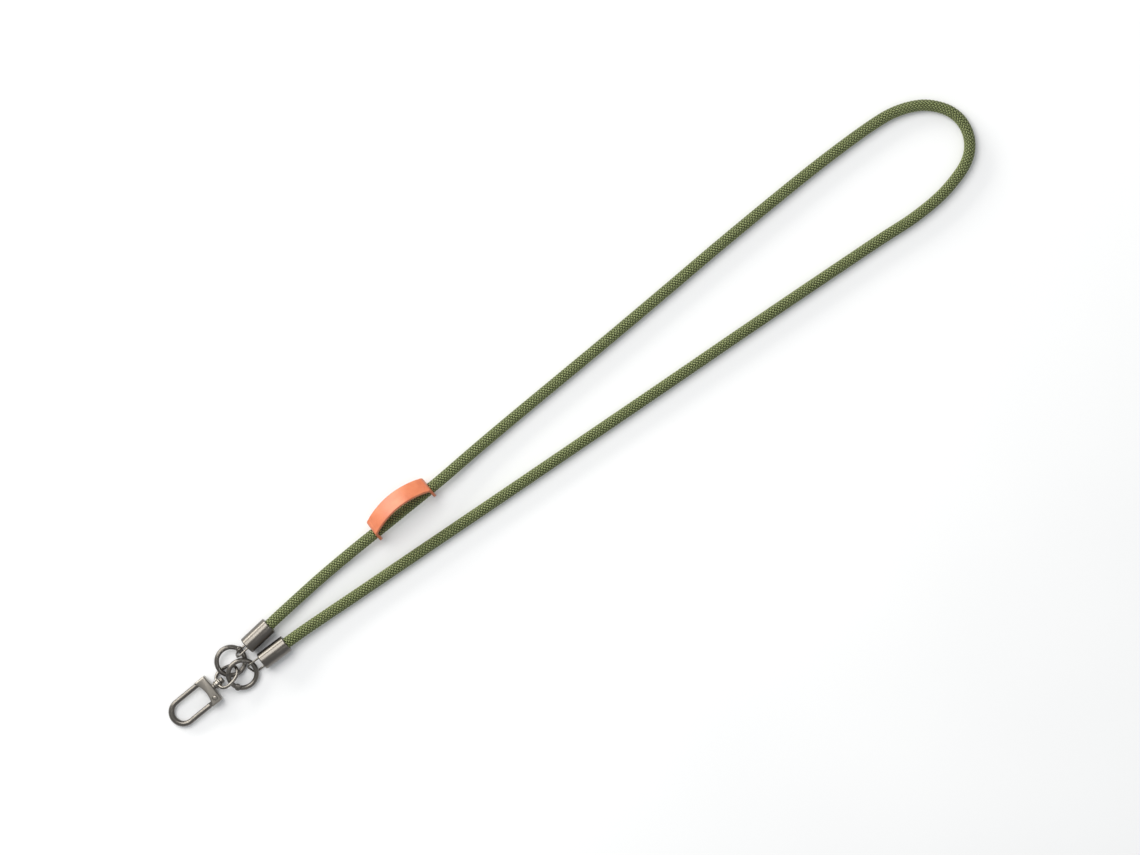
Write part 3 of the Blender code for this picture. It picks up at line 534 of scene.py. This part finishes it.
def leather_material(name, stops, rough, bump_height, pore_scale, coat):
    mat, nodes, links, shader = new_material(name)
    effect = node(nodes, "ShaderNodeGroup", node_tree=leather_effect)
    effect.inputs["Pore Scale"].default_value = pore_scale
    tone = ramp(nodes, stops)
    links.new(effect.outputs["Clouds"], tone.inputs["Fac"])
    links.new(tone.outputs["Color"], shader.inputs["Base Color"])
    bump = nodes.new("ShaderNodeBump")
    bump.inputs["Strength"].default_value = 0.35
    bump.inputs["Distance"].default_value = bump_height
    links.new(effect.outputs["Pores"], bump.inputs["Height"])
    links.new(bump.outputs["Normal"], shader.inputs["Normal"])
    shine = nodes.new("ShaderNodeMapRange")
    shine.inputs["From Min"].default_value = 0.35
    shine.inputs["From Max"].default_value = 0.65
    shine.inputs["To Min"].default_value = rough[0]
    shine.inputs["To Max"].default_value = rough[1]
    links.new(effect.outputs["Clouds"], shine.inputs["Value"])
    links.new(shine.outputs["Result"], shader.inputs["Roughness"])
    shader.inputs["Coat Weight"].default_value = coat
    shader.inputs["Coat Roughness"].default_value = 0.35
    return mat


def floor_material():
    mat, nodes, links, shader = new_material("white_table")
    coords = nodes.new("ShaderNodeTexCoord")
    grain = nodes.new("ShaderNodeTexNoise")
    grain.inputs["Scale"].default_value = 3.0
    links.new(coords.outputs["Object"], grain.inputs["Vector"])
    tone = ramp(nodes, [(0.3, (0.86, 0.86, 0.865)), (0.7, (0.9, 0.9, 0.9))])
    links.new(grain.outputs["Fac"], tone.inputs["Fac"])
    links.new(tone.outputs["Color"], shader.inputs["Base Color"])
    shader.inputs["Roughness"].default_value = 0.9
    shader.inputs["Specular IOR Level"].default_value = 0.1
    return mat


# Cord

def smooth_route(points, spacing):
    """Points at even spacing along a Catmull-Rom curve through the given points."""
    route = [Vector(point) for point in points]
    padded = [2 * route[0] - route[1], *route, 2 * route[-1] - route[-2]]
    fine = []
    for number in range(len(route) - 1):
        before, start, end, after = padded[number:number + 4]
        for step in range(24):
            t = step / 24
            fine.append(0.5 * (
                2 * start + (end - before) * t
                + (2 * before - 5 * start + 4 * end - after) * t ** 2
                + (3 * start - before - 3 * end + after) * t ** 3
            ))
    fine.append(route[-1])
    travelled = [0.0]
    for first, second in zip(fine, fine[1:]):
        travelled.append(travelled[-1] + (second - first).length)
    count = max(2, round(travelled[-1] / spacing))
    even = []
    at = 0
    for number in range(count):
        wanted = travelled[-1] * number / count
        while travelled[at + 1] < wanted:
            at += 1
        share = (wanted - travelled[at]) / (travelled[at + 1] - travelled[at])
        even.append(fine[at].lerp(fine[at + 1], share))
    even.append(fine[-1])
    return even


def plait_turn(share):
    """Turn of the plait about the cord at a share of its length, in radians."""
    spot = share * (len(PLAIT_TURN) - 1)
    left = min(int(spot), len(PLAIT_TURN) - 2)
    t = spot - left
    t = t * t * (3 - 2 * t)
    return radians(PLAIT_TURN[left] * (1 - t) + PLAIT_TURN[left + 1] * t)


def strand_tile(lean):
    """One pitch of the plait: a ring of short strands that all lean one way."""
    column = 2 * pi / PLAIT_COLUMNS
    base = CORD_DIAMETER / 2 - PLAIT_STRAND_RISE
    width = column * base
    half_length = sqrt(width ** 2 + PLAIT_PITCH ** 2) / 2 * PLAIT_STRAND_OVERLAP
    bm = bmesh.new()
    yarn = bm.loops.layers.uv.new("yarn")
    crown = bm.verts.layers.float.new("crown")
    slope = atan2(width, PLAIT_PITCH)
    for number in range(0, PLAIT_COLUMNS, 2):
        made = bmesh.ops.create_uvsphere(bm, u_segments=5, v_segments=5, radius=1.0)
        verts = made["verts"]
        faces = {face for vert in verts for face in vert.link_faces}
        for face in faces:
            for loop in face.loops:
                spot = loop.vert.co
                loop[yarn].uv = (spot.z, atan2(spot.y, spot.x) / (2 * pi) if spot.xy.length > 0.01 else 0.0)
        quarter = Matrix.Rotation(radians(90), 4, "Y") @ Matrix.Rotation(radians(180), 4, "Z")
        bmesh.ops.transform(bm, matrix=quarter, verts=verts)
        shape = Matrix.Diagonal((half_length, PLAIT_STRAND_WIDTH / 2, PLAIT_STRAND_RISE, 1))
        bmesh.ops.transform(bm, matrix=shape, verts=verts)
        turn = Matrix.Rotation(slope * lean, 4, "Z")
        bmesh.ops.transform(bm, matrix=turn, verts=verts)
        middle = (number + (0.5 if lean > 0 else 1.5)) * column
        shift = PLAIT_PITCH * (0.25 if lean > 0 else 0.75)
        for vert in verts:
            along, across, rise = vert.co
            out = base + rise
            dip = max(0.0, abs(across) / width - 0.42) * 0.9 * MM
            angle = middle + across / base
            out -= dip
            # Crown is 1 on a strand's top and falls at its sides and dives; the yarn material lays painted
            # shade where it is low.
            vert[crown] = min(1.0, max(0.0, 0.1 + rise / PLAIT_STRAND_RISE * 0.9 - dip / MM * 1.2))
            vert.co = (along + shift, out * sin(angle), out * cos(angle))
    return bm


def plait(name, lean, route_line, length):
    """All strands of the plait that lean one way, repeated along the cord and bent along it."""
    bm = strand_tile(lean)
    mesh = bpy.data.meshes.new(name)
    bm.to_mesh(mesh)
    bm.free()
    count = round(length / PLAIT_PITCH)
    obj = new_object(name, mesh)
    repeat = obj.modifiers.new("repeat", "ARRAY")
    repeat.count = count
    repeat.use_relative_offset = False
    repeat.use_constant_offset = True
    repeat.constant_offset_displace = (length / count, 0, 0)
    bend = obj.modifiers.new("bend", "CURVE")
    bend.object = route_line
    bend.deform_axis = "POS_X"
    return baked(obj, name)


def make_cord():
    """The braided cord: a core whose near-black colour is painted shade for the gaps between strands, and
    the two sets of strands of its plait.
    """
    points = [Vector(point) * MM for point in CORD_ROUTE_MM]
    start = cap_frame(CAP_UPPER_FRONT, CAP_UPPER_YAW) @ Vector((CAP_LENGTH - 11 * MM, 0, 0))
    end = cap_frame(CAP_LOWER_FRONT, CAP_LOWER_YAW) @ Vector((CAP_LENGTH - 11 * MM, 0, 0))
    path = smooth_route([start, *points, end], 2.5 * MM)
    length = sum((b - a).length for a, b in zip(path, path[1:]))
    curve = bpy.data.curves.new("cord_line", "CURVE")
    curve.dimensions = "3D"
    curve.twist_mode = "Z_UP"
    spline = curve.splines.new("POLY")
    spline.points.add(len(path) - 1)
    for number, point in enumerate(path):
        spline.points[number].co = (*point, 1.0)
        spline.points[number].tilt = plait_turn(number / (len(path) - 1))
    line = new_object("cord_line", curve)
    yarn = strand_material()
    right = piece("plait_right_leaning", plait("plait_right_leaning", 1, line, length), [yarn],
                  "strap", sharp=0)
    left = piece("plait_left_leaning", plait("plait_left_leaning", -1, line, length), [yarn],
                 "strap", sharp=0)
    bpy.data.objects.remove(line)
    core = piece("cord_core", wire("cord_core", path, CORE_DIAMETER / 2, sides=14),
                 [shaded_core_material()], "strap", ["cord"], sharp=0)
    return core


# Fittings

def cap_frame(front, yaw):
    """A cap's frame: origin on its front face, local X back along the cap towards the cord."""
    turn = Matrix.Rotation(radians(yaw), 4, "Z")
    return Matrix.Translation((front[0], front[1], CAP_DIAMETER / 2)) @ turn


def make_cap(name, front, yaw, lean):
    place = cap_frame(front, yaw)
    radius = CAP_DIAMETER / 2
    edge = CAP_EDGE
    corner = []
    for step in range(7):
        angle = radians(90) * step / 6
        corner.append((edge * sin(angle), edge * (1 - cos(angle))))
    profile = [(0.0, 0.25 * MM), (radius - 1.5 * MM, 0.25 * MM), (radius - 1.25 * MM, 0.0)]
    profile += [(radius - edge + rise, along) for rise, along in corner]
    profile += [(radius - edge + rise, CAP_LENGTH - along) for rise, along in reversed(corner)]
    profile += [
        (CAP_BORE + 0.25 * MM, CAP_LENGTH),
        (CAP_BORE, CAP_LENGTH - 0.3 * MM),
        (CAP_BORE, CAP_LENGTH - CAP_BORE_DEPTH),
        (0.0, CAP_LENGTH - CAP_BORE_DEPTH),
    ]
    metal = plated_metal(name + "_plating", (0.125, 0.113, 0.098), (0.145, 0.131, 0.114),
                         (0.3, 0.36), place, (0.06, 1.0, 1.0))
    barrel = piece(name + "_barrel", turned(name + "_barrel", profile, CAP_STEPS, place), [metal],
                   "strap", [name])
    dip = Matrix.Rotation(radians(lean[0]), 4, "Y")
    roll = Matrix.Rotation(radians(lean[1]), 4, "X")
    half = CAP_BAIL_HALF
    turn_at = CAP_BAIL_REACH - CAP_BAIL_CORNER
    leg = [Vector((1.0 * MM, half, 0)), Vector((0, half, 0)), Vector((-turn_at / 2, half, 0))]
    for step in range(11):
        angle = radians(90) * step / 10
        leg.append(Vector((-turn_at - CAP_BAIL_CORNER * sin(angle),
                           half - CAP_BAIL_CORNER * (1 - cos(angle)), 0)))
    points = leg + [Vector((spot.x, -spot.y, 0)) for spot in reversed(leg)]
    bail = wire(name + "_bail", points, CAP_BAIL_WIRE / 2, sides=16, place=place @ dip @ roll)
    piece(name + "_bail", bail, [wire_plating], "strap")
    return barrel


def plane_frame(centre, slope, spin):
    """A frame whose XY plane rises by slope along world X and Y, turned by spin about its Z."""
    normal = Vector((-slope[0], -slope[1], 1)).normalized()
    along = Vector((0, 1, 0)).cross(normal).normalized()
    across = normal.cross(along)
    axes = Matrix((along, across, normal)).transposed().to_4x4()
    return Matrix.Translation(centre) @ axes @ Matrix.Rotation(radians(spin), 4, "Z")


def arc_points(start, end, steps):
    points = []
    for step in range(steps + 1):
        angle = radians(start + (end - start) * step / steps)
        points.append(Vector((RING_RADIUS * cos(angle), RING_RADIUS * sin(angle), 0)))
    return points


def nose_room(name, radius, half_only, place):
    """The cylinder about a ring gate's pivot that its slanted nose is cut along."""
    bm = bmesh.new()
    bmesh.ops.create_cone(bm, cap_ends=True, segments=96, radius1=radius, radius2=radius,
                          depth=RING_WIRE * 3, matrix=Matrix.Translation((RING_RADIUS, 0, 0)))
    if half_only:
        cut = bmesh.ops.bisect_plane(bm, geom=bm.verts[:] + bm.edges[:] + bm.faces[:],
                                     plane_co=(0, -RING_WIRE, 0), plane_no=(0, 1, 0),
                                     clear_outer=True)
        rim = [item for item in cut["geom_cut"] if isinstance(item, bmesh.types.BMEdge)]
        bmesh.ops.holes_fill(bm, edges=rim)
    return to_mesh(name, bm, place)


def make_ring(side, place, body):
    """A spring gate ring: the open ring, its gate and the gate's pin."""
    pivot = Vector((RING_RADIUS, 0, 0))
    at_pivot = place @ Matrix.Translation(pivot)
    reach = 2 * RING_RADIUS * sin(radians(RING_GATE_ANGLE) / 2)
    knuckle = RING_KNUCKLE_DIAMETER / 2
    clear = knuckle + SEAT_GAP
    start = degrees(asin(clear / RING_RADIUS))
    name = "ring_" + side
    metal = plated_metal(name + "_plating", (0.125, 0.113, 0.098), (0.15, 0.136, 0.118),
                         (0.27, 0.34), place, (1.0, 1.0, 1.0))
    body_line = arc_points(start * 0.6, 360 - RING_GATE_ANGLE * 0.8, 84)
    ring = wire(name, body_line, RING_WIRE / 2, sides=24, place=place)
    tongue_turn = at_pivot @ Matrix.Rotation(radians(RING_TONGUE_TURN), 4, "Z")
    half_tongue = RING_TONGUE_WIDTH / 2
    ring = carved(ring, [
        ("DIFFERENCE", disc("pocket", clear, -RING_WIRE, RING_WIRE, (pivot.x, 0), place=place)),
        ("DIFFERENCE", nose_room("mouth", reach + RING_GATE_GAP, True, place)),
        ("UNION", bar("tongue", (-half_tongue, 0, -RING_TONGUE / 2),
                      (half_tongue, knuckle + RING_WIRE * 0.6, RING_TONGUE / 2), tongue_turn)),
    ])
    piece(name, ring, [metal], "strap", ["spring_ring_" + side], sharp=30)

    gate_line = arc_points(-RING_GATE_ANGLE - 12, 0, 34)
    gate = wire(name + "_gate", gate_line, RING_WIRE / 2, sides=24, place=place)
    fork = RING_TONGUE / 2 + SEAT_GAP
    over = knuckle + 1.0 * MM
    gate = carved(gate, [
        ("INTERSECT", nose_room("nose", reach, False, place)),
        ("UNION", disc("knuckle", knuckle, -RING_KNUCKLE_HEIGHT / 2, RING_KNUCKLE_HEIGHT / 2,
                       (pivot.x, 0), place=place, edge=0.5 * MM)),
        ("DIFFERENCE", bar("fork", (-over, -half_tongue - SEAT_GAP, -fork), (over, over, fork),
                           at_pivot)),
        ("DIFFERENCE", disc("pin_seat", RING_PIN / 2 + 0.12 * MM, RING_KNUCKLE_HEIGHT / 2 - 0.2 * MM,
                            RING_KNUCKLE_HEIGHT, (pivot.x, 0), 32, place)),
    ])
    piece(name + "_gate", gate, [metal], body, ["spring_gate_" + side], sharp=30)
    pin = disc(name + "_pin", RING_PIN / 2, -RING_KNUCKLE_HEIGHT / 2 + 0.1 * MM,
               RING_KNUCKLE_HEIGHT / 2 - 0.02 * MM, (pivot.x, 0), 32, place, edge=0.12 * MM)
    piece(name + "_pin", pin, [bright_plating], body)


def make_swivel(place):
    """The swivel bail: a waisted barrel on the clasp's stud and its loop of wire."""
    outer = BARREL_DIAMETER / 2
    hole = STUD_DIAMETER / 2 + SEAT_GAP
    low = STUD_WASHER[1] + SEAT_GAP
    high = low + BARREL_LENGTH
    profile = [
        (hole, low), (outer - 0.5 * MM, low), (outer - 0.15 * MM, low + 0.12 * MM),
        (outer, low + 0.45 * MM), (outer, low + 0.95 * MM), (outer - 0.15 * MM, low + 1.2 * MM),
        (outer - 0.4 * MM, low + 1.4 * MM), (outer - 0.4 * MM, high - 1.4 * MM),
        (outer - 0.15 * MM, high - 1.2 * MM), (outer, high - 0.95 * MM),
        (outer, high - 0.45 * MM), (outer - 0.15 * MM, high - 0.12 * MM),
        (outer - 0.5 * MM, high), (hole, high), (hole, low),
    ]
    barrel = turned("swivel_barrel", profile, 48, place)
    piece("swivel_barrel", barrel, [bright_plating], "strap", ["swivel_bail"])
    near = low + BARREL_LENGTH / 2
    half_reach = (LOOP_REACH - near) / 2
    root = outer - LOOP_WIRE * 0.3
    start = asin((root / (LOOP_HALF_WIDTH * (1 + LOOP_TAPER))) ** (1 / LOOP_ROUNDNESS))
    points = []
    steps = 96
    for step in range(steps + 1):
        angle = -pi + start + 2 * (pi - start) * step / steps
        along = abs(cos(angle)) ** LOOP_ROUNDNESS * (1 if cos(angle) > 0 else -1)
        across = abs(sin(angle)) ** LOOP_ROUNDNESS * (1 if sin(angle) > 0 else -1)
        points.append(Vector((near + half_reach * (1 + along),
                              LOOP_HALF_WIDTH * across * (1 - LOOP_TAPER * along), 0)))
    roll = Matrix.Rotation(radians(LOOP_ROLL), 4, "X")
    loop = wire("swivel_loop", points, LOOP_WIRE / 2, sides=20, place=place @ roll)
    piece("swivel_loop", loop, [wire_plating], "strap")


def make_clasp(place):
    """The snap clasp: block with stud, hook, gate and rivet."""
    half = BLOCK_WIDTH / 2
    radius = (half ** 2 + BLOCK_HOLLOW ** 2) / (2 * BLOCK_HOLLOW)
    reach = asin(half / radius)
    centre = -BLOCK_LENGTH + BLOCK_HOLLOW - radius
    bm = bmesh.new()
    outline = [(0.0, -half), (0.0, half)]
    steps = 28
    for step in range(steps + 1):
        angle = reach - 2 * reach * step / steps
        outline.append((centre + radius * cos(angle), radius * sin(angle)))
    bottom = bm.faces.new([bm.verts.new((x, y, -BLOCK_THICKNESS / 2)) for x, y in outline])
    raised = bmesh.ops.extrude_face_region(bm, geom=[bottom])
    lifted = [item for item in raised["geom"] if isinstance(item, bmesh.types.BMVert)]
    bmesh.ops.translate(bm, verts=lifted, vec=(0, 0, BLOCK_THICKNESS))
    bmesh.ops.recalc_face_normals(bm, faces=bm.faces)
    edges = [edge for edge in bm.edges if edge.calc_face_angle(0) > radians(40)]
    bmesh.ops.bevel(bm, geom=edges, offset=BLOCK_EDGE, segments=6, profile=0.5,
                    affect="EDGES", material=-1)
    block = to_mesh("clasp_block", bm, place)
    tail_half = GATE_TAIL / 2 + SEAT_GAP
    eye = RIVET_SHANK / 2 + SEAT_GAP + 1.1 * MM
    slot = bar("slot", (-BLOCK_LENGTH - 1 * MM, -half + 0.45 * MM, -tail_half),
               (-RIVET_INSET + eye + SEAT_GAP, -RIVET_OFFSET + eye + 0.6 * MM, tail_half), place)
    spot = (-RIVET_INSET, -RIVET_OFFSET)
    seat_low = BLOCK_THICKNESS / 2 - RIVET_HEAD[1] + RIVET_PROUD - SEAT_GAP
    block = carved(block, [
        ("DIFFERENCE", slot),
        ("DIFFERENCE", disc("rivet_seat", RIVET_HEAD[0] / 2 + SEAT_GAP, seat_low, BLOCK_THICKNESS,
                            spot, place=place)),
    ])
    plating = plated_metal("block_plating", (0.24, 0.22, 0.19), (0.28, 0.257, 0.225),
                           (0.34, 0.4), place, (1.0, 0.05, 1.0))
    piece("clasp_block", block, [plating], "clasp", ["clasp_body"], sharp=30)

    bend = -HOOK_LENGTH + HOOK_TIP_WIRE / 2 + HOOK_HALF
    start = -BLOCK_LENGTH + BLOCK_HOLLOW + HOOK_WIRE / 2
    points = []
    swell = []
    for share in (0.0, 0.5, 0.8):
        points.append(Vector((start + (bend - start) * share, HOOK_HALF, 0)))
        swell.append(1.0)
    for step in range(41):
        angle = radians(90) + pi * step / 40
        points.append(Vector((bend + HOOK_HALF * cos(angle), HOOK_HALF * sin(angle), 0)))
        swell.append(1 + (HOOK_TIP_WIRE / HOOK_WIRE - 1) * sin(pi * step / 40))
    points.append(Vector((-GATE_NOSE_X + HOOK_WIRE, -HOOK_HALF, 0)))
    swell.append(1.0)
    hook = wire("clasp_hook", points, HOOK_WIRE / 2, swell, 28, place)
    slant = (place @ Matrix.Translation((-GATE_NOSE_X, -HOOK_HALF, 0))
             @ Matrix.Rotation(radians(GATE_NOSE_SLANT), 4, "Z"))
    room = bar("nose_room", (-GATE_GAP, -HOOK_WIRE * 1.2, -HOOK_WIRE),
               (HOOK_WIRE * 2, HOOK_WIRE * 1.2, HOOK_WIRE), slant)
    hook = carved(hook, [("DIFFERENCE", room)])
    piece("clasp_hook", hook, [hook_plating], "clasp", sharp=30)

    washer, head, shank = STUD_WASHER[0] / 2, STUD_HEAD[0] / 2, STUD_DIAMETER / 2
    top = STUD_REACH + STUD_HEAD[1]
    stud = turned("swivel_stud", [
        (0.0, top), (head * 0.6, top), (head * 0.9, top - 0.2 * MM), (head, top - 0.6 * MM),
        (head, STUD_REACH + 0.1 * MM), (head - 0.1 * MM, STUD_REACH), (shank, STUD_REACH),
        (shank, STUD_WASHER[1]), (washer - 0.15 * MM, STUD_WASHER[1]),
        (washer, STUD_WASHER[1] - 0.15 * MM), (washer, 0.2 * MM), (washer + 0.3 * MM, -0.3 * MM),
        (0.0, -0.3 * MM),
    ], 40, place)
    piece("swivel_stud", stud, [hook_plating], "clasp")

    bar_start = -BLOCK_LENGTH - 0.5 * MM
    gate = wire("clasp_gate_bar", [
        Vector((bar_start + (-GATE_NOSE_X - HOOK_WIRE - bar_start) * share, -HOOK_HALF, 0))
        for share in (0.0, 0.03, 0.33, 0.66, 1.0)
    ], HOOK_WIRE / 2, [0.94, 1.0, 1.0, 1.0, 1.0], 28, place)
    outer = -half + 0.45 * MM + SEAT_GAP
    gate = carved(gate, [
        ("INTERSECT", bar("nose", (0, -HOOK_WIDTH / 2, -HOOK_WIRE),
                          (HOOK_WIDTH, HOOK_WIDTH / 2, HOOK_WIRE), slant)),
        ("UNION", bar("tail", (bar_start - 1.2 * MM, outer, -GATE_TAIL / 2),
                      (-RIVET_INSET - 1.0 * MM, outer + 3.0 * MM, GATE_TAIL / 2), place)),
        ("UNION", disc("eye", eye, -GATE_TAIL / 2, GATE_TAIL / 2, spot, place=place)),
    ])
    piece("clasp_gate_bar", gate, [hook_plating], "clasp_lever", ["clasp_gate"],
          sharp=30)
    head_r = RIVET_HEAD[0] / 2
    turned_up = (place @ Matrix.Translation((-RIVET_INSET, -RIVET_OFFSET, 0))
                 @ Matrix.Rotation(radians(-90), 4, "Y"))
    top = BLOCK_THICKNESS / 2 + RIVET_PROUD
    rivet = turned("rivet", [
        (0.0, top), (head_r * 0.45, top - 0.03 * MM), (head_r * 0.8, top - 0.12 * MM),
        (head_r * 0.96, top - 0.28 * MM), (head_r, top - 0.45 * MM), (head_r, top - RIVET_HEAD[1]),
        (RIVET_SHANK / 2, top - RIVET_HEAD[1]), (RIVET_SHANK / 2, -BLOCK_THICKNESS / 2),
        (0.0, -BLOCK_THICKNESS / 2),
    ], 48, turned_up)
    piece("rivet", rivet, [plating], "clasp", ["clasp_rivet"])


# Keeper

def keeper_profile():
    """The strip's centre line seen from its side: two lobes, two folds and the arch."""
    half = KEEPER_SPAN / 2
    end = KEEPER_WIDTH / 2
    points = [(-half, -end * cos(radians(90) * step / 10)) for step in range(10)]
    points += [(-half, 0.0), (-half, end * 0.3), (-half, end * 0.6)]
    shoulder = KEEPER_RISE_END - KEEPER_FOLD
    for step in range(9):
        angle = radians(80) * step / 8
        points.append((-half + KEEPER_FOLD * (1 - cos(angle)), shoulder + KEEPER_FOLD * sin(angle)))
    start_x, start_z = points[-1]
    lobe = len(points)
    steps = 40
    for step in range(1, steps):
        share = step / steps
        swell = sin(pi * share) ** 0.8
        points.append((start_x - 2 * start_x * share,
                       start_z + (KEEPER_RISE_MIDDLE - start_z) * swell))
    points += [(-x, z) for x, z in reversed(points[:lobe])]
    return points


def make_keeper():
    """The leather keeper: grain side out, its round ends folded down and threaded by the cord."""
    profile = keeper_profile()
    travelled = [0.0]
    for first, second in zip(profile, profile[1:]):
        travelled.append(travelled[-1] + sqrt((second[0] - first[0]) ** 2 + (second[1] - first[1]) ** 2))
    end = KEEPER_WIDTH / 2
    columns = len(profile) - 1
    across_steps = 14
    bm = bmesh.new()
    bmesh.ops.create_grid(bm, x_segments=columns, y_segments=across_steps, size=1.0)
    for vert in bm.verts:
        column = round((vert.co.x + 1) / 2 * columns)
        to_end = min(travelled[column], travelled[-1] - travelled[column])
        inside = max(0.0, end - to_end)
        half_width = max(sqrt(max(end ** 2 - inside ** 2, 0.0)), end * 0.12)
        x, z = profile[column]
        vert.co = (x, half_width * vert.co.y, z)
    lean = Matrix.Rotation(radians(KEEPER_LEAN), 4, "X")
    place = Matrix.Translation(KEEPER_CENTRE) @ Matrix.Rotation(radians(KEEPER_YAW), 4, "Z") @ lean
    mesh = to_mesh("leather_strip", bm, place)
    mesh.materials.append(grain_leather)
    mesh.materials.append(flesh_leather)
    mesh.materials.append(edge_leather)
    obj = new_object("leather_strip", mesh)
    wall = obj.modifiers.new("leather", "SOLIDIFY")
    wall.thickness = KEEPER_THICKNESS
    wall.offset = 0.0
    wall.use_even_offset = True
    wall.material_offset = 1
    wall.material_offset_rim = 2
    soft = obj.modifiers.new("soft_edge", "BEVEL")
    soft.width = 0.35 * MM
    soft.segments = 2
    soft.limit_method = "ANGLE"
    soft.angle_limit = radians(50)
    strip = baked(obj, "leather_strip")
    holes = []
    along_x = Matrix.Rotation(radians(90), 4, "Y")
    for side in (-1, 1):
        at = side * KEEPER_SPAN / 2
        reach = KEEPER_THICKNESS * 1.4
        hole = disc("hole", KEEPER_HOLE, at - reach, at + reach, sides=56, place=place @ along_x)
        for material in (grain_leather, flesh_leather, edge_leather):
            hole.materials.append(material)
        for face in hole.polygons:
            face.material_index = 2
        holes.append(("DIFFERENCE", hole))
    keeper = carved(strip, holes)
    return piece("keeper_strip", keeper, [grain_leather, flesh_leather, edge_leather], "strap",
                 ["leather_keeper"], sharp=60)


# Room

def make_room():
    """Pale floor, soft studio light from the upper left and the camera over the strap."""
    bm = bmesh.new()
    bmesh.ops.create_grid(bm, x_segments=1, y_segments=1, size=4.0)
    floor = new_object("floor", to_mesh("floor", bm))
    floor.data.materials.append(floor_material())
    floor.location.z = -0.02 * MM

    right = Matrix.Rotation(radians(PHOTO_ROLL), 4, "Z")
    lights = (
        ("key_light", (-0.98, 0.82, 2.05), (1.7, 1.5), 42.0, (1.0, 0.99, 0.97)),
        ("side_light", (-1.75, 1.45, 0.72), (2.0, 0.6), 38.0, (1.0, 0.985, 0.93)),
        ("top_strip", (0.62, -0.66, 2.2), (0.5, 0.05), 2.4, (1.0, 0.985, 0.96)),
    )
    for name, spot, size, power, colour in lights:
        data = bpy.data.lights.new(name, "AREA")
        data.shape = "RECTANGLE"
        data.size, data.size_y = size
        data.energy = power
        data.color = colour
        light = new_object(name, data)
        light.location = right @ Vector(spot)
        light.rotation_euler = (-light.location).to_track_quat("-Z", "Y").to_euler()

    world = bpy.data.worlds.new("studio")
    bpy.context.scene.world = world
    world.use_nodes = True
    world.node_tree.nodes["Background"].inputs["Color"].default_value = (0.94, 0.97, 1.0, 1.0)
    world.node_tree.nodes["Background"].inputs["Strength"].default_value = 0.5
    bpy.context.scene.view_settings.view_transform = "Standard"

    lens = bpy.data.cameras.new("camera")
    camera = new_object("camera", lens)
    camera.location = (VIEW_CENTRE[0], VIEW_CENTRE[1], CAMERA_HEIGHT)
    camera.rotation_euler = (0, 0, radians(PHOTO_ROLL))
    lens.lens = lens.sensor_width * CAMERA_HEIGHT / PHOTO_WIDTH_M
    lens.clip_start, lens.clip_end = 0.05, 20
    bpy.context.scene.camera = camera


metal_effect = make_metal_effect()
leather_effect = make_leather_effect()
world_frame = Matrix.Identity(4)
wire_plating = plated_metal("wire_plating", (0.15, 0.137, 0.12), (0.19, 0.174, 0.152), (0.24, 0.32),
                            world_frame, (1.0, 1.0, 1.0))
bright_plating = plated_metal("bright_plating", (0.2, 0.183, 0.16), (0.25, 0.23, 0.2), (0.22, 0.3),
                              world_frame, (1.0, 1.0, 1.0))
hook_plating = plated_metal("hook_plating", (0.125, 0.113, 0.098), (0.15, 0.136, 0.118), (0.27, 0.34),
                            world_frame, (1.0, 1.0, 1.0))
grain_leather = leather_material(
    "grain_leather", [(0.3, (0.5, 0.115, 0.035)), (0.5, (0.56, 0.15, 0.055)), (0.7, (0.6, 0.19, 0.08))],
    (0.36, 0.46), 0.05 * MM, 2100.0, 0.25)
flesh_leather = leather_material(
    "flesh_leather", [(0.3, (0.3, 0.12, 0.035)), (0.7, (0.42, 0.19, 0.065))],
    (0.8, 0.9), 0.12 * MM, 1500.0, 0.0)
edge_leather = leather_material(
    "edge_leather", [(0.3, (0.13, 0.03, 0.012)), (0.7, (0.24, 0.065, 0.025))],
    (0.4, 0.5), 0.05 * MM, 2600.0, 0.2)

make_cord()
make_cap("end_cap_upper", CAP_UPPER_FRONT, CAP_UPPER_YAW, CAP_UPPER_BAIL_LEAN)
make_cap("end_cap_lower", CAP_LOWER_FRONT, CAP_LOWER_YAW, CAP_LOWER_BAIL_LEAN)
make_ring("upper", plane_frame(RING_UPPER_CENTRE, RING_UPPER_SLOPE, RING_UPPER_PIVOT_ANGLE),
          "upper_ring_gate")
make_ring("lower", plane_frame(RING_LOWER_CENTRE, RING_LOWER_SLOPE, RING_LOWER_PIVOT_ANGLE),
          "lower_ring_gate")
clasp_frame = (Matrix.Translation(CLASP_PLACE) @ Matrix.Rotation(radians(CLASP_YAW), 4, "Z")
               @ Matrix.Rotation(radians(-CLASP_PITCH), 4, "Y"))
make_swivel(clasp_frame)
make_clasp(clasp_frame)
make_keeper()
make_room()
